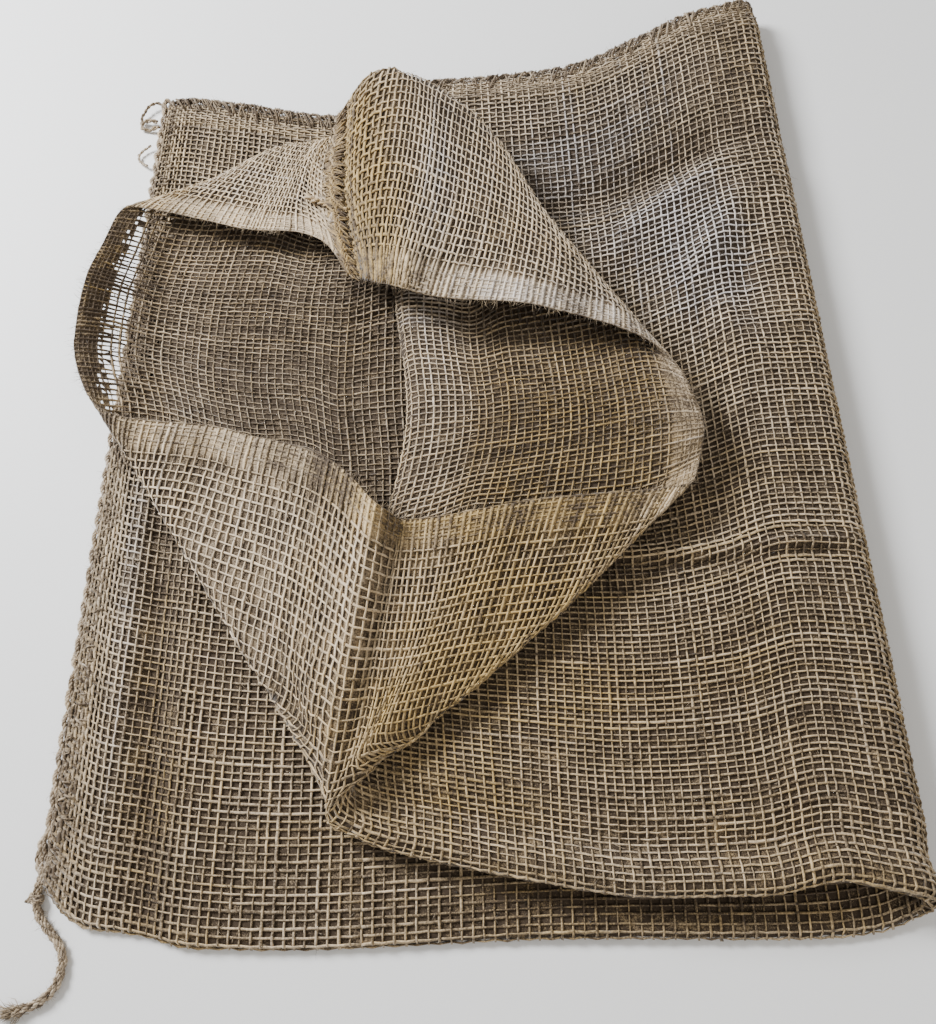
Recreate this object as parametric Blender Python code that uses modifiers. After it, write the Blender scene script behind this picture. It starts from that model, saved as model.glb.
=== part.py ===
"""Open-weave jute sack, laid flat, folded in half across its length, with its mouth turned open.

The bag is one rectangle of cloth. It is folded along the near crease (across = 0) and sewn along the
side seam (across = +-BAG_WIDTH) and along the bottom (along = 0). Ply "under" lies on the ground in the
lower half and comes out on top after the half fold; ply "over" is its partner. At the mouth the over ply
lies flat to the left and the under ply is turned back to the right, so four corner flaps fold inwards.
Lengths are metres; the tables are written in millimetres.
"""
import math

import bpy
import numpy as np

MM = 0.001

BAG_WIDTH = 470 * MM          # near crease to side seam
BAG_LENGTH = 840 * MM         # bottom seam to mouth
CLOTH_THICKNESS = 1.6 * MM
TURN_START = 694 * MM         # where the mouth begins to turn open
TURN_DEPTH = BAG_LENGTH - TURN_START
EDGE_GAP = 1.5 * MM           # half the space between the two sewn edges' middles
SEAM_CLOSE = 14 * MM          # the plies close towards each other over this width at the seam
SEAM_RADIUS = 2.4 * MM        # whipped seam, as a round bead beside the edges
SEAM_CLEARANCE = 0.4 * MM
SEAM_FROM_CREASE = 4 * MM     # the bottom seam begins here
SEAM_TO_SIDE = 2 * MM         # and ends so far from the side seam
TAIL_RADIUS = 2.3 * MM        # loose end of the seam twine
FOOTPRINT_MIDDLE = (-2.7 * MM, 259.5 * MM)   # of the whole lay, in the tables' coordinates

# One row per section of the flattened bag, from the bottom seam round the half fold to the mouth turn.
# near and far = the middle of the two plies at the crease and at the side seam, gap = half the space
# between the plies, turn = how far round the half fold the section is, in degrees.
BAG_SECTIONS = {
    "columns": ("along", "near_x", "near_y", "far_x", "far_y", "near_z", "far_z", "gap", "turn"),
    "rows": (
        (0, -201, 16, -186, 484, 2.8, 2.8, 2.0, 0),
        (14, -190, 5, -174, 485, 2.9, 2.9, 2.1, 0),
        (45, -160, -4, -143, 479, 2.9, 2.9, 2.1, 0),
        (130, -75, -12, -66, 463, 2.9, 2.9, 2.1, 0),
        (240, 37, -10, 45, 468, 2.9, 2.9, 2.1, 0),
        (340, 138, -12, 140, 500, 2.9, 2.9, 2.1, 0),
        (382, 180, -10, 175, 519, 2.9, 2.9, 2.1, 0),
        (399, 196, -4, 190, 525, 5.4, 5.4, 3.0, 35),
        (411, 201, 0, 195, 526, 11.5, 11.0, 3.4, 90),
        (424, 195, 5, 190, 525, 17.8, 17.0, 3.6, 150),
        (440, 181, 9, 176, 521, 20.0, 18.5, 3.8, 178),
        (462, 160, 13, 155, 516, 20.0, 18.0, 3.8, 180),
        (495, 128, 8, 124, 501, 18.5, 17.5, 3.6, 180),
        (540, 84, 8, 82, 481, 17.5, 17.0, 3.4, 180),
        (600, 25, 16, 24, 474, 16.5, 17.0, 3.4, 180),
        (640, -14, 24, -16, 473, 15.5, 17.0, 3.6, 180),
        (672, -47, 33, -44, 463, 16.0, 17.5, 4.0, 180),
        (694, -66, 44, -64, 451, 16.5, 18.0, 4.5, 180),
    ),
}

# Across the flattened bag the fold lines gather at its two edges; across the mouth they spread out.
BAG_PLACES = {"near flap edge": 4, "near flap": 9, "near fold": 15, "floor near": 117.5,
              "floor middle": 235, "floor far": 352.5, "far fold": 450, "far flap": 456,
              "far flap crest": 461, "far flap edge": 465.5}

# The mouth turn, one row per fold line or flap, from the near crease to the side seam. mouth_q is how
# far across the cloth it meets the mouth; quarter, most and mouth are its places at TURN_STAGES.
TURN_STAGES = (0.25, 0.6, 1.0)
CREASE_TURN = {"quarter": (-59, 76, 36), "most": (-50, 126, 46), "mouth": (-40, 187, 48)}
OVER_TURN = {
    "columns": ("name", "mouth_q", "quarter", "most", "mouth"),
    "rows": (
        ("near flap edge", 18, (-66, 80, 33), (-61, 130, 42), (-53, 203, 45)),
        ("near flap", 95, (-81, 93, 22), (-98, 149, 28), (-118, 235, 31)),
        ("near fold", 190, (-101, 106, 14), (-147, 180, 17), (-200, 262, 29)),
        ("floor near", 225, (-112, 186, 12), (-164, 242, 13), (-210, 293, 32)),
        ("floor middle", 260, (-113, 268, 12), (-166, 300, 13), (-208, 326, 34)),
        ("floor far", 295, (-111, 352, 12), (-163, 356, 12.5), (-204, 357, 28)),
        ("far fold", 332, (-100, 436, 15), (-143, 413, 16.5), (-191, 386, 26)),
        ("far flap", 395, (-84, 431, 20), (-104, 399, 22), (-124, 367, 25)),
        ("far flap edge", 448, (-76, 424, 22), (-80, 387, 26), (-74, 352, 28)),
    ),
}
UNDER_TURN = {
    "columns": ("name", "mouth_q", "quarter", "most", "mouth"),
    "rows": (
        ("near flap edge", 18, (-52, 73, 33), (-40, 121, 36), (-29, 182, 34)),
        ("near flap", 90, (-41, 78, 34.5), (-6, 129, 36), (36, 187, 41)),
        ("near fold", 177, (-20, 81, 28.5), (43, 132, 33), (112, 192, 39)),
        ("floor near", 196, (14, 158, 27), (71, 174, 30), (119, 208, 38)),
        ("floor middle", 215, (30, 245, 35), (82, 240, 37), (121, 222, 44)),
        ("floor far", 234, (19, 340, 34), (73, 306, 36), (119, 238, 42)),
        ("far fold", 254, (2, 432, 42), (53, 351, 39), (112, 253, 45)),
        ("far flap", 335, (-18, 445, 51), (12, 360, 50), (48, 283, 55)),
        ("far flap crest", 410, (-38, 450, 54), (-28, 368, 57), (-20, 295, 58)),
        ("far flap edge", 450, (-58, 438, 42), (-55, 376, 45), (-46, 314, 43)),
    ),
}
SEAM_TURN = {"quarter": (-66, 421, 29), "most": (-65, 378, 35), "mouth": (-55, 323, 33)}

# The under ply rolls up and back at the mouth: how far right of the ridge it is, and how high.
ROLL_SECTIONS = {
    "columns": ("along", "from_ridge", "floor near", "floor middle", "floor far"),
    "rows": (
        (640, 20, 19.5, 21, 21),
        (654, 7, 20, 23.5, 23.5),
        (665, 0, 23.5, 28.5, 28.5),
        (677, 5, 27.5, 33, 33.5),
        (694, 22, 28, 34, 35),
    ),
}
# The folds beside the crease and the seam turn back a little sooner than those do, by so much in x.
TURN_AHEAD = {"near flap edge": 1.5, "near flap": 5, "near fold": 9, "far fold": 9, "far flap": 7,
              "far flap crest": 4.5, "far flap edge": 2}
RIDGE_X = {"floor near": -44, "floor middle": -27, "floor far": -38}
# One more section rounds the first millimetres of the mouth turn, where the flaps leave the bag.
FIRST_STEP = 10 * MM
FIRST_SHARE = 0.3             # of the way to the quarter stage
FIRST_RISE = 4 * MM
AHEAD_RISE = 0.6              # height gained for each millimetre turned ahead

# Columns of the cloth's mesh between one fold line and the next, counted towards the side seam.
SPAN_STEPS = {"near flap edge": 1, "near flap": 2, "near fold": 3, "floor near": 3, "floor middle": 3,
              "floor far": 3, "far fold": 3, "far flap": 3, "far flap crest": 2, "far flap edge": 1}
LAST_SPAN_STEPS = 1
# Rows of the cloth's mesh, along the bag, closer where it bends.
CLOTH_ROWS = (0, 14, 30, 60, 110, 160, 210, 260, 310, 350, 375, 388, 395, 400, 405, 410, 415, 420, 426, 434,
              446, 465, 500, 540, 580, 615, 638, 650, 657, 663, 669, 676, 685, 694, 699, 705, 716, 732, 753,
              776, 802, 822, 840)
SEAM_ROWS = 56
BOTTOM_SEAM_POINTS = 30
SEAM_OFFSET = SEAM_RADIUS + CLOTH_THICKNESS / 2 + SEAM_CLEARANCE
# Where the mouth is turned back, the side seam rolls on top of the cloth.
SEAM_DIRECTION_AT_TURN = (-0.6, 0.0, 0.8)
SEAM_OFFSET_AT_TURN = 4.45 * MM
SEAM_TWIST_LENGTH = 22 * MM
# The loose end of the seam twine, from the near corner of the bottom seam to its frayed tip.
TAIL_ROUTE = ((-204.3, 18.4, 2.8), (-205, 12, 2.6), (-203, 5, 2.4), (-197.5, -2, 2.4), (-191.5, -8, 2.4),
              (-189, -16, 2.4), (-190.5, -24, 2.4), (-196, -30, 2.4), (-203.5, -33.5, 2.4), (-210, -35, 2.4))
TAIL_STEP = 5 * MM
CLOTH_COLOUR = (0.36, 0.27, 0.18)
TWINE_COLOUR = (0.30, 0.22, 0.14)


def rows_of(table):
    """The rows of a table as dictionaries."""
    return [dict(zip(table["columns"], row)) for row in table["rows"]]


def hermite(knots, values, where):
    """A smooth curve through values (one row per knot), read at the places in where.

    Its slope is held in at each knot, so that it never swings past a fold line.
    """
    knots = np.asarray(knots, float)
    values = np.asarray(values, float)
    step = np.diff(knots)
    slope = np.diff(values, axis=0) / step[:, None]
    tangent = np.empty_like(values)
    tangent[0], tangent[-1] = slope[0], slope[-1]
    share = (step[1:] / (step[:-1] + step[1:]))[:, None]
    middle = share * slope[:-1] + (1 - share) * slope[1:]
    limit = 3 * np.minimum(abs(slope[:-1]), abs(slope[1:])) * (slope[:-1] * slope[1:] > 0)
    tangent[1:-1] = np.clip(middle, -limit, limit)
    span = np.clip(np.searchsorted(knots, where, side="right") - 1, 0, len(knots) - 2)
    u = np.clip((where - knots[span]) / step[span], 0, 1)[:, None]
    width = step[span][:, None]
    return ((2 * u**3 - 3 * u**2 + 1) * values[span] + (u**3 - 2 * u**2 + u) * width * tangent[span]
            + (3 * u**2 - 2 * u**3) * values[span + 1] + (u**3 - u**2) * width * tangent[span + 1])


def ply_offset(across, gap):
    """How far in from the crease, and how far from the bag's middle, a place on a flattened ply lies."""
    bend = gap * math.pi / 2
    if across < bend:
        return gap * (1 - math.cos(across / gap)), gap * math.sin(across / gap)
    to_seam = min((BAG_WIDTH - across) / SEAM_CLOSE, 1)
    closing = to_seam * to_seam * (3 - 2 * to_seam)
    return gap + across - bend, EDGE_GAP + (gap - EDGE_GAP) * closing


def bag_point(section, across, side):
    """A point of the flattened bag: side is 1 on the under ply and -1 on the over ply."""
    gap = section["gap"] * MM
    inward, off = ply_offset(across, gap)
    share = inward / (BAG_WIDTH - gap * (math.pi / 2 - 1))
    x = section["near_x"] + (section["far_x"] - section["near_x"]) * share
    y = section["near_y"] + (section["far_y"] - section["near_y"]) * share
    z = section["near_z"] + (section["far_z"] - section["near_z"]) * share
    turn = math.radians(section["turn"])
    return (x * MM + side * off * math.sin(turn), y * MM, z * MM - side * off * math.cos(turn))


def section_at(along):
    """The row of BAG_SECTIONS at any place along the bag."""
    rows = np.array(BAG_SECTIONS["rows"], float)
    row = hermite(rows[:, 0] * MM, rows, np.array([along]))[0]
    return dict(zip(BAG_SECTIONS["columns"], row))


def row_rise(name, side):
    """How much a fold line climbs at once where the mouth begins to turn."""
    if name in RIDGE_X or name == "near fold" or name == "far fold" and side < 0:
        return 0.0
    return FIRST_RISE


def fold_net(side):
    """Places along, places across and points of every section of one ply, from crease to seam."""
    turn_rows = rows_of(UNDER_TURN if side > 0 else OVER_TURN)
    names = [row["name"] for row in turn_rows]
    rolls = rows_of(ROLL_SECTIONS) if side > 0 else []
    roll_at = {row["along"]: row for row in rolls}
    flat_rows = [row for row in BAG_SECTIONS["rows"] if not rolls or row[0] < rolls[0]["along"]]
    stations = sorted({row[0] for row in flat_rows} | set(roll_at))
    flat_places = [0.0] + [BAG_PLACES[name] * MM for name in names] + [BAG_WIDTH]
    places, points = [], []
    for along in stations:
        section = section_at(along * MM)
        row_points = [bag_point(section, across, side) for across in flat_places]
        if along in roll_at:
            roll = roll_at[along]
            if along == rolls[-1]["along"]:
                for name, ahead in TURN_AHEAD.items():
                    index = names.index(name) + 1
                    x, y, z = row_points[index]
                    row_points[index] = (x + ahead * MM, y, z + AHEAD_RISE * ahead * MM)
            for name in RIDGE_X:
                index = names.index(name) + 1
                y = row_points[index][1]
                row_points[index] = ((RIDGE_X[name] + roll["from_ridge"]) * MM, y, roll[name] * MM)
        places.append(flat_places)
        points.append(row_points)
    places.append(flat_places)
    points.append(None)                 # filled in below, between its two neighbours
    mouth_places = [0.0] + [row["mouth_q"] * MM for row in turn_rows] + [BAG_WIDTH]
    for stage, share in zip(("quarter", "most", "mouth"), TURN_STAGES):
        places.append([a + (b - a) * share for a, b in zip(flat_places, mouth_places)])
        seam = [value * MM for value in SEAM_TURN[stage]]
        seam[0] += side * EDGE_GAP
        crease = [value * MM for value in CREASE_TURN[stage]]
        points.append([crease] + [[value * MM for value in row[stage]] for row in turn_rows] + [seam])
    start, quarter = np.array(points[-5]), np.array(points[-3])
    rise = [FIRST_RISE] + [row_rise(name, side) for name in names] + [FIRST_RISE]
    points[-4] = start + (quarter - start) * FIRST_SHARE + np.outer(rise, (0, 0, 1))
    alongs = [along * MM for along in stations] + [TURN_START + FIRST_STEP]
    alongs += [TURN_START + share * TURN_DEPTH for share in TURN_STAGES]
    return np.array(alongs), np.array(places), np.array(points)


def section_loop(nets, along):
    """The whole section at one place along: places across (under ply positive) and their points."""
    across, points = [], []
    for side in (-1, 1):
        alongs, places, net = nets[side]
        where = np.array([along])
        row_places = hermite(alongs, places, where)[0]
        row_points = hermite(alongs, net.reshape(len(alongs), -1), where)[0].reshape(-1, 3)
        across.append(side * row_places)
        points.append(row_points)
    across = np.concatenate((across[0][:0:-1], across[1]))
    points = np.concatenate((points[0][:0:-1], points[1]))
    return across, points


def placed(point):
    """A point of the tables' coordinates in the part's own frame."""
    return (point[0] - FOOTPRINT_MIDDLE[0], point[1] - FOOTPRINT_MIDDLE[1], point[2])


def jute(name, colour):
    """A plain dyed-through jute material."""
    material = bpy.data.materials.new(name)
    material.use_nodes = True
    shader = material.node_tree.nodes["Principled BSDF"]
    shader.inputs["Base Color"].default_value = (*colour, 1.0)
    shader.inputs["Roughness"].default_value = 0.95
    shader.inputs["Metallic"].default_value = 0.0
    return material


def add_object(name, data, material, collection):
    """A named object for one sub-part."""
    item = bpy.data.objects.new(name, data)
    item.data.materials.append(material)
    collection.objects.link(item)
    return item


def column_places(nets, along):
    """Places across the cloth for the columns of the mesh at one section."""
    across, _ = section_loop(nets, along)
    names = [row["name"] for row in rows_of(OVER_TURN)]
    over_steps = [SPAN_STEPS[name] for name in names] + [LAST_SPAN_STEPS]
    names = [row["name"] for row in rows_of(UNDER_TURN)]
    under_steps = [SPAN_STEPS[name] for name in names] + [LAST_SPAN_STEPS]
    steps = over_steps[::-1] + under_steps
    places = [across[0]]
    for start, end, count in zip(across[:-1], across[1:], steps):
        places.extend(start + (end - start) * (i + 1) / count for i in range(count))
    return np.array(places)


def make_cloth(nets, collection):
    """The whole cloth as an open sheet on the fold's middle surface, thickened by Solidify."""
    grid = []
    for along in CLOTH_ROWS:
        across, points = section_loop(nets, along * MM)
        grid.append(hermite(across, points, column_places(nets, along * MM)))
    columns = len(grid[0])
    vertices = [placed(point) for row in grid for point in row]
    faces = []
    for i in range(len(grid) - 1):
        for j in range(columns - 1):
            corner = i * columns + j
            faces.append((corner, corner + 1, corner + columns + 1, corner + columns))
    mesh = bpy.data.meshes.new("sack_cloth")
    mesh.from_pydata(vertices, [], faces)
    mesh.shade_smooth()
    cloth = add_object("sack_cloth", mesh, jute("jute cloth", CLOTH_COLOUR), collection)
    sheet = cloth.modifiers.new("thickness", "SOLIDIFY")
    sheet.thickness = CLOTH_THICKNESS
    sheet.offset = 0.0
    return cloth


def make_tube(name, points, radius, material, collection):
    """A round twine or seam bead along a list of points."""
    curve = bpy.data.curves.new(name, "CURVE")
    curve.dimensions = "3D"
    curve.bevel_depth = radius
    curve.bevel_resolution = 2
    curve.use_fill_caps = True
    spline = curve.splines.new("POLY")
    spline.points.add(len(points) - 1)
    for target, point in zip(spline.points, points):
        target.co = (*placed(point), 1.0)
    return add_object(name, curve, material, collection)


def side_seam_route(nets):
    """The middle of the whipped side seam, just outside the two sewn edges, from the bottom to the mouth."""
    route = []
    for along in np.linspace(0, BAG_LENGTH, SEAM_ROWS):
        across, points = section_loop(nets, along)
        inner_place = BAG_WIDTH - SEAM_CLOSE
        inner = hermite(across, points, np.array([-inner_place, inner_place])).mean(axis=0)
        edge = (points[0] + points[-1]) / 2
        outward = edge - inner
        outward /= np.linalg.norm(outward)
        turned = min(max((along - TURN_START) / SEAM_TWIST_LENGTH + 1, 0), 1)
        direction = outward * (1 - turned) + np.array(SEAM_DIRECTION_AT_TURN) * turned
        direction /= np.linalg.norm(direction)
        offset = SEAM_OFFSET + (SEAM_OFFSET_AT_TURN - SEAM_OFFSET) * turned
        route.append(edge + direction * offset)
    return route


def bottom_seam_route(nets):
    """The middle of the whipped bottom seam, from the near corner to the side seam."""
    route = []
    across, points = section_loop(nets, 0.0)
    for place in np.linspace(SEAM_FROM_CREASE, BAG_WIDTH - SEAM_TO_SIDE, BOTTOM_SEAM_POINTS):
        edge = hermite(across, points, np.array([-place, place])).mean(axis=0)
        route.append(edge - np.array((SEAM_RADIUS + SEAM_CLEARANCE, 0, 0)))
    return route


def tail_route():
    """Points every couple of diameters on a smooth curve through the tail's own route."""
    route = np.array(TAIL_ROUTE) * MM
    travelled = np.concatenate(([0], np.cumsum(np.linalg.norm(np.diff(route, axis=0), axis=1))))
    count = round(travelled[-1] / TAIL_STEP)
    return hermite(travelled, route, np.linspace(0, travelled[-1], count + 1))


def main():
    for item in list(bpy.data.objects):
        bpy.data.objects.remove(item, do_unlink=True)
    collection = bpy.data.collections.new("jute_sack")
    bpy.context.scene.collection.children.link(collection)
    nets = {side: fold_net(side) for side in (-1, 1)}
    make_cloth(nets, collection)
    seam = jute("jute seam twine", TWINE_COLOUR)
    make_tube("side_seam_stitching", side_seam_route(nets), SEAM_RADIUS, seam, collection)
    make_tube("bottom_seam_stitching", bottom_seam_route(nets), SEAM_RADIUS, seam, collection)
    make_tube("seam_tail_twine", tail_route(), TAIL_RADIUS, seam, collection)


main()
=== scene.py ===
import math

import bpy
import numpy as np
from mathutils import Matrix, Vector
from mathutils.bvhtree import BVHTree


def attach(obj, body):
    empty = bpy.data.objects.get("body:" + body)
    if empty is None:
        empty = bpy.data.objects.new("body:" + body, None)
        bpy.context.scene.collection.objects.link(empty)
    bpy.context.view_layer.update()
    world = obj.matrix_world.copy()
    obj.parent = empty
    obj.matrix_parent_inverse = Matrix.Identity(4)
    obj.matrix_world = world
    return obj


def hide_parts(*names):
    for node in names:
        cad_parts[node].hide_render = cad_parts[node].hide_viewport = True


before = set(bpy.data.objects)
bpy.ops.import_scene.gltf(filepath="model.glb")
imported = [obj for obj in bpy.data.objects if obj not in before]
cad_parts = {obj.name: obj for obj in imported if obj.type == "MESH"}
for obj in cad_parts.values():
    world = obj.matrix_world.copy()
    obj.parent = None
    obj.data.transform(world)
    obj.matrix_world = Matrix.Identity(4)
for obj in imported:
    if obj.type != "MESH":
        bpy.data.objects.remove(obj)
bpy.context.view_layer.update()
mm = 0.001
floorGap = 0.05 * mm      # nothing presses into the floor
level = (0.0, 0.0, 1.0)   # up, for what lies flat
print("frame loaded")

# The fold of the bag: along runs from the bottom seam to the mouth, across from the near crease to the side
# seam, and the tables are in millimetres.
bagSizes = {
    "width": 470 * mm,
    "length": 840 * mm,
    "turnStart": 694 * mm,      # the mouth begins to turn open here
    "edgeGap": 1.5 * mm,        # half the space between the two sewn edges
    "seamClose": 14 * mm,       # the plies close over this width at the seam
    "firstStep": 10 * mm,       # an extra section that rounds the start of the turn
    "firstShare": 0.3,
    "firstRise": 4 * mm,
    "aheadRise": 0.6,
    "middle": (-2.7 * mm, 259.5 * mm),   # of the whole footprint
}

bagSections = {
    "columns": ("along", "nearX", "nearY", "farX", "farY", "nearZ", "farZ", "gap", "turn"),
    "rows": (
        (0, -201, 16, -186, 484, 2.8, 2.8, 2.0, 0),
        (14, -190, 5, -174, 485, 2.9, 2.9, 2.1, 0),
        (45, -160, -4, -143, 479, 2.9, 2.9, 2.1, 0),
        (130, -75, -12, -66, 463, 2.9, 2.9, 2.1, 0),
        (240, 37, -10, 45, 468, 2.9, 2.9, 2.1, 0),
        (340, 138, -12, 140, 500, 2.9, 2.9, 2.1, 0),
        (382, 180, -10, 175, 519, 2.9, 2.9, 2.1, 0),
        (399, 196, -4, 190, 525, 5.4, 5.4, 3.0, 35),
        (411, 201, 0, 195, 526, 11.5, 11.0, 3.4, 90),
        (424, 195, 5, 190, 525, 17.8, 17.0, 3.6, 150),
        (440, 181, 9, 176, 521, 20.0, 18.5, 3.8, 178),
        (462, 160, 13, 155, 516, 20.0, 18.0, 3.8, 180),
        (495, 128, 8, 124, 501, 18.5, 17.5, 3.6, 180),
        (540, 84, 8, 82, 481, 17.5, 17.0, 3.4, 180),
        (600, 25, 16, 24, 474, 16.5, 17.0, 3.4, 180),
        (640, -14, 24, -16, 473, 15.5, 17.0, 3.6, 180),
        (672, -47, 33, -44, 463, 16.0, 17.5, 4.0, 180),
        (694, -66, 44, -64, 451, 16.5, 18.0, 4.5, 180),
    ),
}
bagPlaces = {"nearFlapEdge": 4, "nearFlap": 9, "nearFold": 15, "floorNear": 117.5, "floorMiddle": 235,
             "floorFar": 352.5, "farFold": 450, "farFlap": 456, "farFlapCrest": 461, "farFlapEdge": 465.5}

turnStages = (0.25, 0.6, 1.0)
creaseTurn = {"quarter": (-59, 76, 36), "most": (-50, 126, 46), "mouth": (-40, 187, 48)}
overTurn = {
    "columns": ("name", "mouthPlace", "quarter", "most", "mouth"),
    "rows": (
        ("nearFlapEdge", 18, (-66, 80, 33), (-61, 130, 42), (-53, 203, 45)),
        ("nearFlap", 95, (-81, 93, 22), (-98, 149, 28), (-118, 235, 31)),
        ("nearFold", 190, (-101, 106, 14), (-147, 180, 17), (-200, 262, 29)),
        ("floorNear", 225, (-112, 186, 12), (-164, 242, 13), (-210, 293, 32)),
        ("floorMiddle", 260, (-113, 268, 12), (-166, 300, 13), (-208, 326, 34)),
        ("floorFar", 295, (-111, 352, 12), (-163, 356, 12.5), (-204, 357, 28)),
        ("farFold", 332, (-100, 436, 15), (-143, 413, 16.5), (-191, 386, 26)),
        ("farFlap", 395, (-84, 431, 20), (-104, 399, 22), (-124, 367, 25)),
        ("farFlapEdge", 448, (-76, 424, 22), (-80, 387, 26), (-74, 352, 28)),
    ),
}
underTurn = {
    "columns": ("name", "mouthPlace", "quarter", "most", "mouth"),
    "rows": (
        ("nearFlapEdge", 18, (-52, 73, 33), (-40, 121, 36), (-29, 182, 34)),
        ("nearFlap", 90, (-41, 78, 34.5), (-6, 129, 36), (36, 187, 41)),
        ("nearFold", 177, (-20, 81, 28.5), (43, 132, 33), (112, 192, 39)),
        ("floorNear", 196, (14, 158, 27), (71, 174, 30), (119, 208, 38)),
        ("floorMiddle", 215, (30, 245, 35), (82, 240, 37), (121, 222, 44)),
        ("floorFar", 234, (19, 340, 34), (73, 306, 36), (119, 238, 42)),
        ("farFold", 254, (2, 432, 42), (53, 351, 39), (112, 253, 45)),
        ("farFlap", 335, (-18, 445, 51), (12, 360, 50), (48, 283, 55)),
        ("farFlapCrest", 410, (-38, 450, 54), (-28, 368, 57), (-20, 295, 58)),
        ("farFlapEdge", 450, (-58, 438, 42), (-55, 376, 45), (-46, 314, 43)),
    ),
}
seamTurn = {"quarter": (-66, 421, 29), "most": (-65, 378, 35), "mouth": (-55, 323, 33)}

rollSections = {
    "columns": ("along", "fromRidge", "floorNear", "floorMiddle", "floorFar"),
    "rows": (
        (640, 20, 19.5, 21, 21),
        (654, 7, 20, 23.5, 23.5),
        (665, 0, 23.5, 28.5, 28.5),
        (677, 5, 27.5, 33, 33.5),
        (694, 22, 28, 34, 35),
    ),
}
turnAhead = {"nearFlapEdge": 1.5, "nearFlap": 5, "nearFold": 9, "farFold": 9, "farFlap": 7,
             "farFlapCrest": 4.5, "farFlapEdge": 2}
ridgeX = {"floorNear": -44, "floorMiddle": -27, "floorFar": -38}


def rowsOf(chart):
    return [dict(zip(chart["columns"], row)) for row in chart["rows"]]


def smoothThrough(knots, values, where):
    # a smooth curve through the values that never swings past a fold line
    knots = np.asarray(knots, float)
    values = np.asarray(values, float)
    step = np.diff(knots)
    slope = np.diff(values, axis=0) / step[:, None]
    tangent = np.empty_like(values)
    tangent[0], tangent[-1] = slope[0], slope[-1]
    share = (step[1:] / (step[:-1] + step[1:]))[:, None]
    between = share * slope[:-1] + (1 - share) * slope[1:]
    limit = 3 * np.minimum(abs(slope[:-1]), abs(slope[1:])) * (slope[:-1] * slope[1:] > 0)
    tangent[1:-1] = np.clip(between, -limit, limit)
    span = np.clip(np.searchsorted(knots, where, side="right") - 1, 0, len(knots) - 2)
    u = np.clip((where - knots[span]) / step[span], 0, 1)[:, None]
    wide = step[span][:, None]
    return ((2 * u**3 - 3 * u**2 + 1) * values[span] + (u**3 - 2 * u**2 + u) * wide * tangent[span]
            + (3 * u**2 - 2 * u**3) * values[span + 1] + (u**3 - u**2) * wide * tangent[span + 1])


def plyOffset(across, gap):
    bend = gap * math.pi / 2
    if across < bend:
        return gap * (1 - math.cos(across / gap)), gap * math.sin(across / gap)
    toSeam = min((bagSizes["width"] - across) / bagSizes["seamClose"], 1)
    closing = toSeam * toSeam * (3 - 2 * toSeam)
    return gap + across - bend, bagSizes["edgeGap"] + (gap - bagSizes["edgeGap"]) * closing


def bagPoint(section, across, side):
    # side is 1 on the under ply and -1 on the over ply
    gap = section["gap"] * mm
    inward, off = plyOffset(across, gap)
    share = inward / (bagSizes["width"] - gap * (math.pi / 2 - 1))
    x = section["nearX"] + (section["farX"] - section["nearX"]) * share
    y = section["nearY"] + (section["farY"] - section["nearY"]) * share
    z = section["nearZ"] + (section["farZ"] - section["nearZ"]) * share
    turn = math.radians(section["turn"])
    return (x * mm + side * off * math.sin(turn), y * mm, z * mm - side * off * math.cos(turn))


def sectionAt(along):
    rows = np.array(bagSections["rows"], float)
    row = smoothThrough(rows[:, 0] * mm, rows, np.array([along]))[0]
    return dict(zip(bagSections["columns"], row))


def riseAtTurn(name, side):
    if name in ridgeX or name == "nearFold" or name == "farFold" and side < 0:
        return 0.0
    return bagSizes["firstRise"]


def foldNet(side):
    turnRows = rowsOf(underTurn if side > 0 else overTurn)
    names = [row["name"] for row in turnRows]
    rolls = rowsOf(rollSections) if side > 0 else []
    rollAt = {row["along"]: row for row in rolls}
    flatRows = [row for row in bagSections["rows"] if not rolls or row[0] < rolls[0]["along"]]
    stations = sorted({row[0] for row in flatRows} | set(rollAt))
    flatPlaces = [0.0] + [bagPlaces[name] * mm for name in names] + [bagSizes["width"]]
    places, points = [], []
    for along in stations:
        section = sectionAt(along * mm)
        rowPoints = [bagPoint(section, across, side) for across in flatPlaces]
        if along in rollAt:
            roll = rollAt[along]
            if along == rolls[-1]["along"]:
                for name, ahead in turnAhead.items():
                    index = names.index(name) + 1
                    x, y, z = rowPoints[index]
                    rowPoints[index] = (x + ahead * mm, y, z + bagSizes["aheadRise"] * ahead * mm)
            for name in ridgeX:
                index = names.index(name) + 1
                y = rowPoints[index][1]
                rowPoints[index] = ((ridgeX[name] + roll["fromRidge"]) * mm, y, roll[name] * mm)
        places.append(flatPlaces)
        points.append(rowPoints)
    places.append(flatPlaces)
    points.append(None)      # filled in below, between its two neighbours
    mouthPlaces = [0.0] + [row["mouthPlace"] * mm for row in turnRows] + [bagSizes["width"]]
    for stage, share in zip(("quarter", "most", "mouth"), turnStages):
        places.append([a + (b - a) * share for a, b in zip(flatPlaces, mouthPlaces)])
        seam = [value * mm for value in seamTurn[stage]]
        seam[0] += side * bagSizes["edgeGap"]
        crease = [value * mm for value in creaseTurn[stage]]
        points.append([crease] + [[value * mm for value in row[stage]] for row in turnRows] + [seam])
    start, quarter = np.array(points[-5]), np.array(points[-3])
    rise = [bagSizes["firstRise"]] + [riseAtTurn(name, side) for name in names] + [bagSizes["firstRise"]]
    points[-4] = start + (quarter - start) * bagSizes["firstShare"] + np.outer(rise, (0, 0, 1))
    depth = bagSizes["length"] - bagSizes["turnStart"]
    alongs = [along * mm for along in stations] + [bagSizes["turnStart"] + bagSizes["firstStep"]]
    alongs += [bagSizes["turnStart"] + share * depth for share in turnStages]
    return np.array(alongs), np.array(places), np.array(points)


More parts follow.
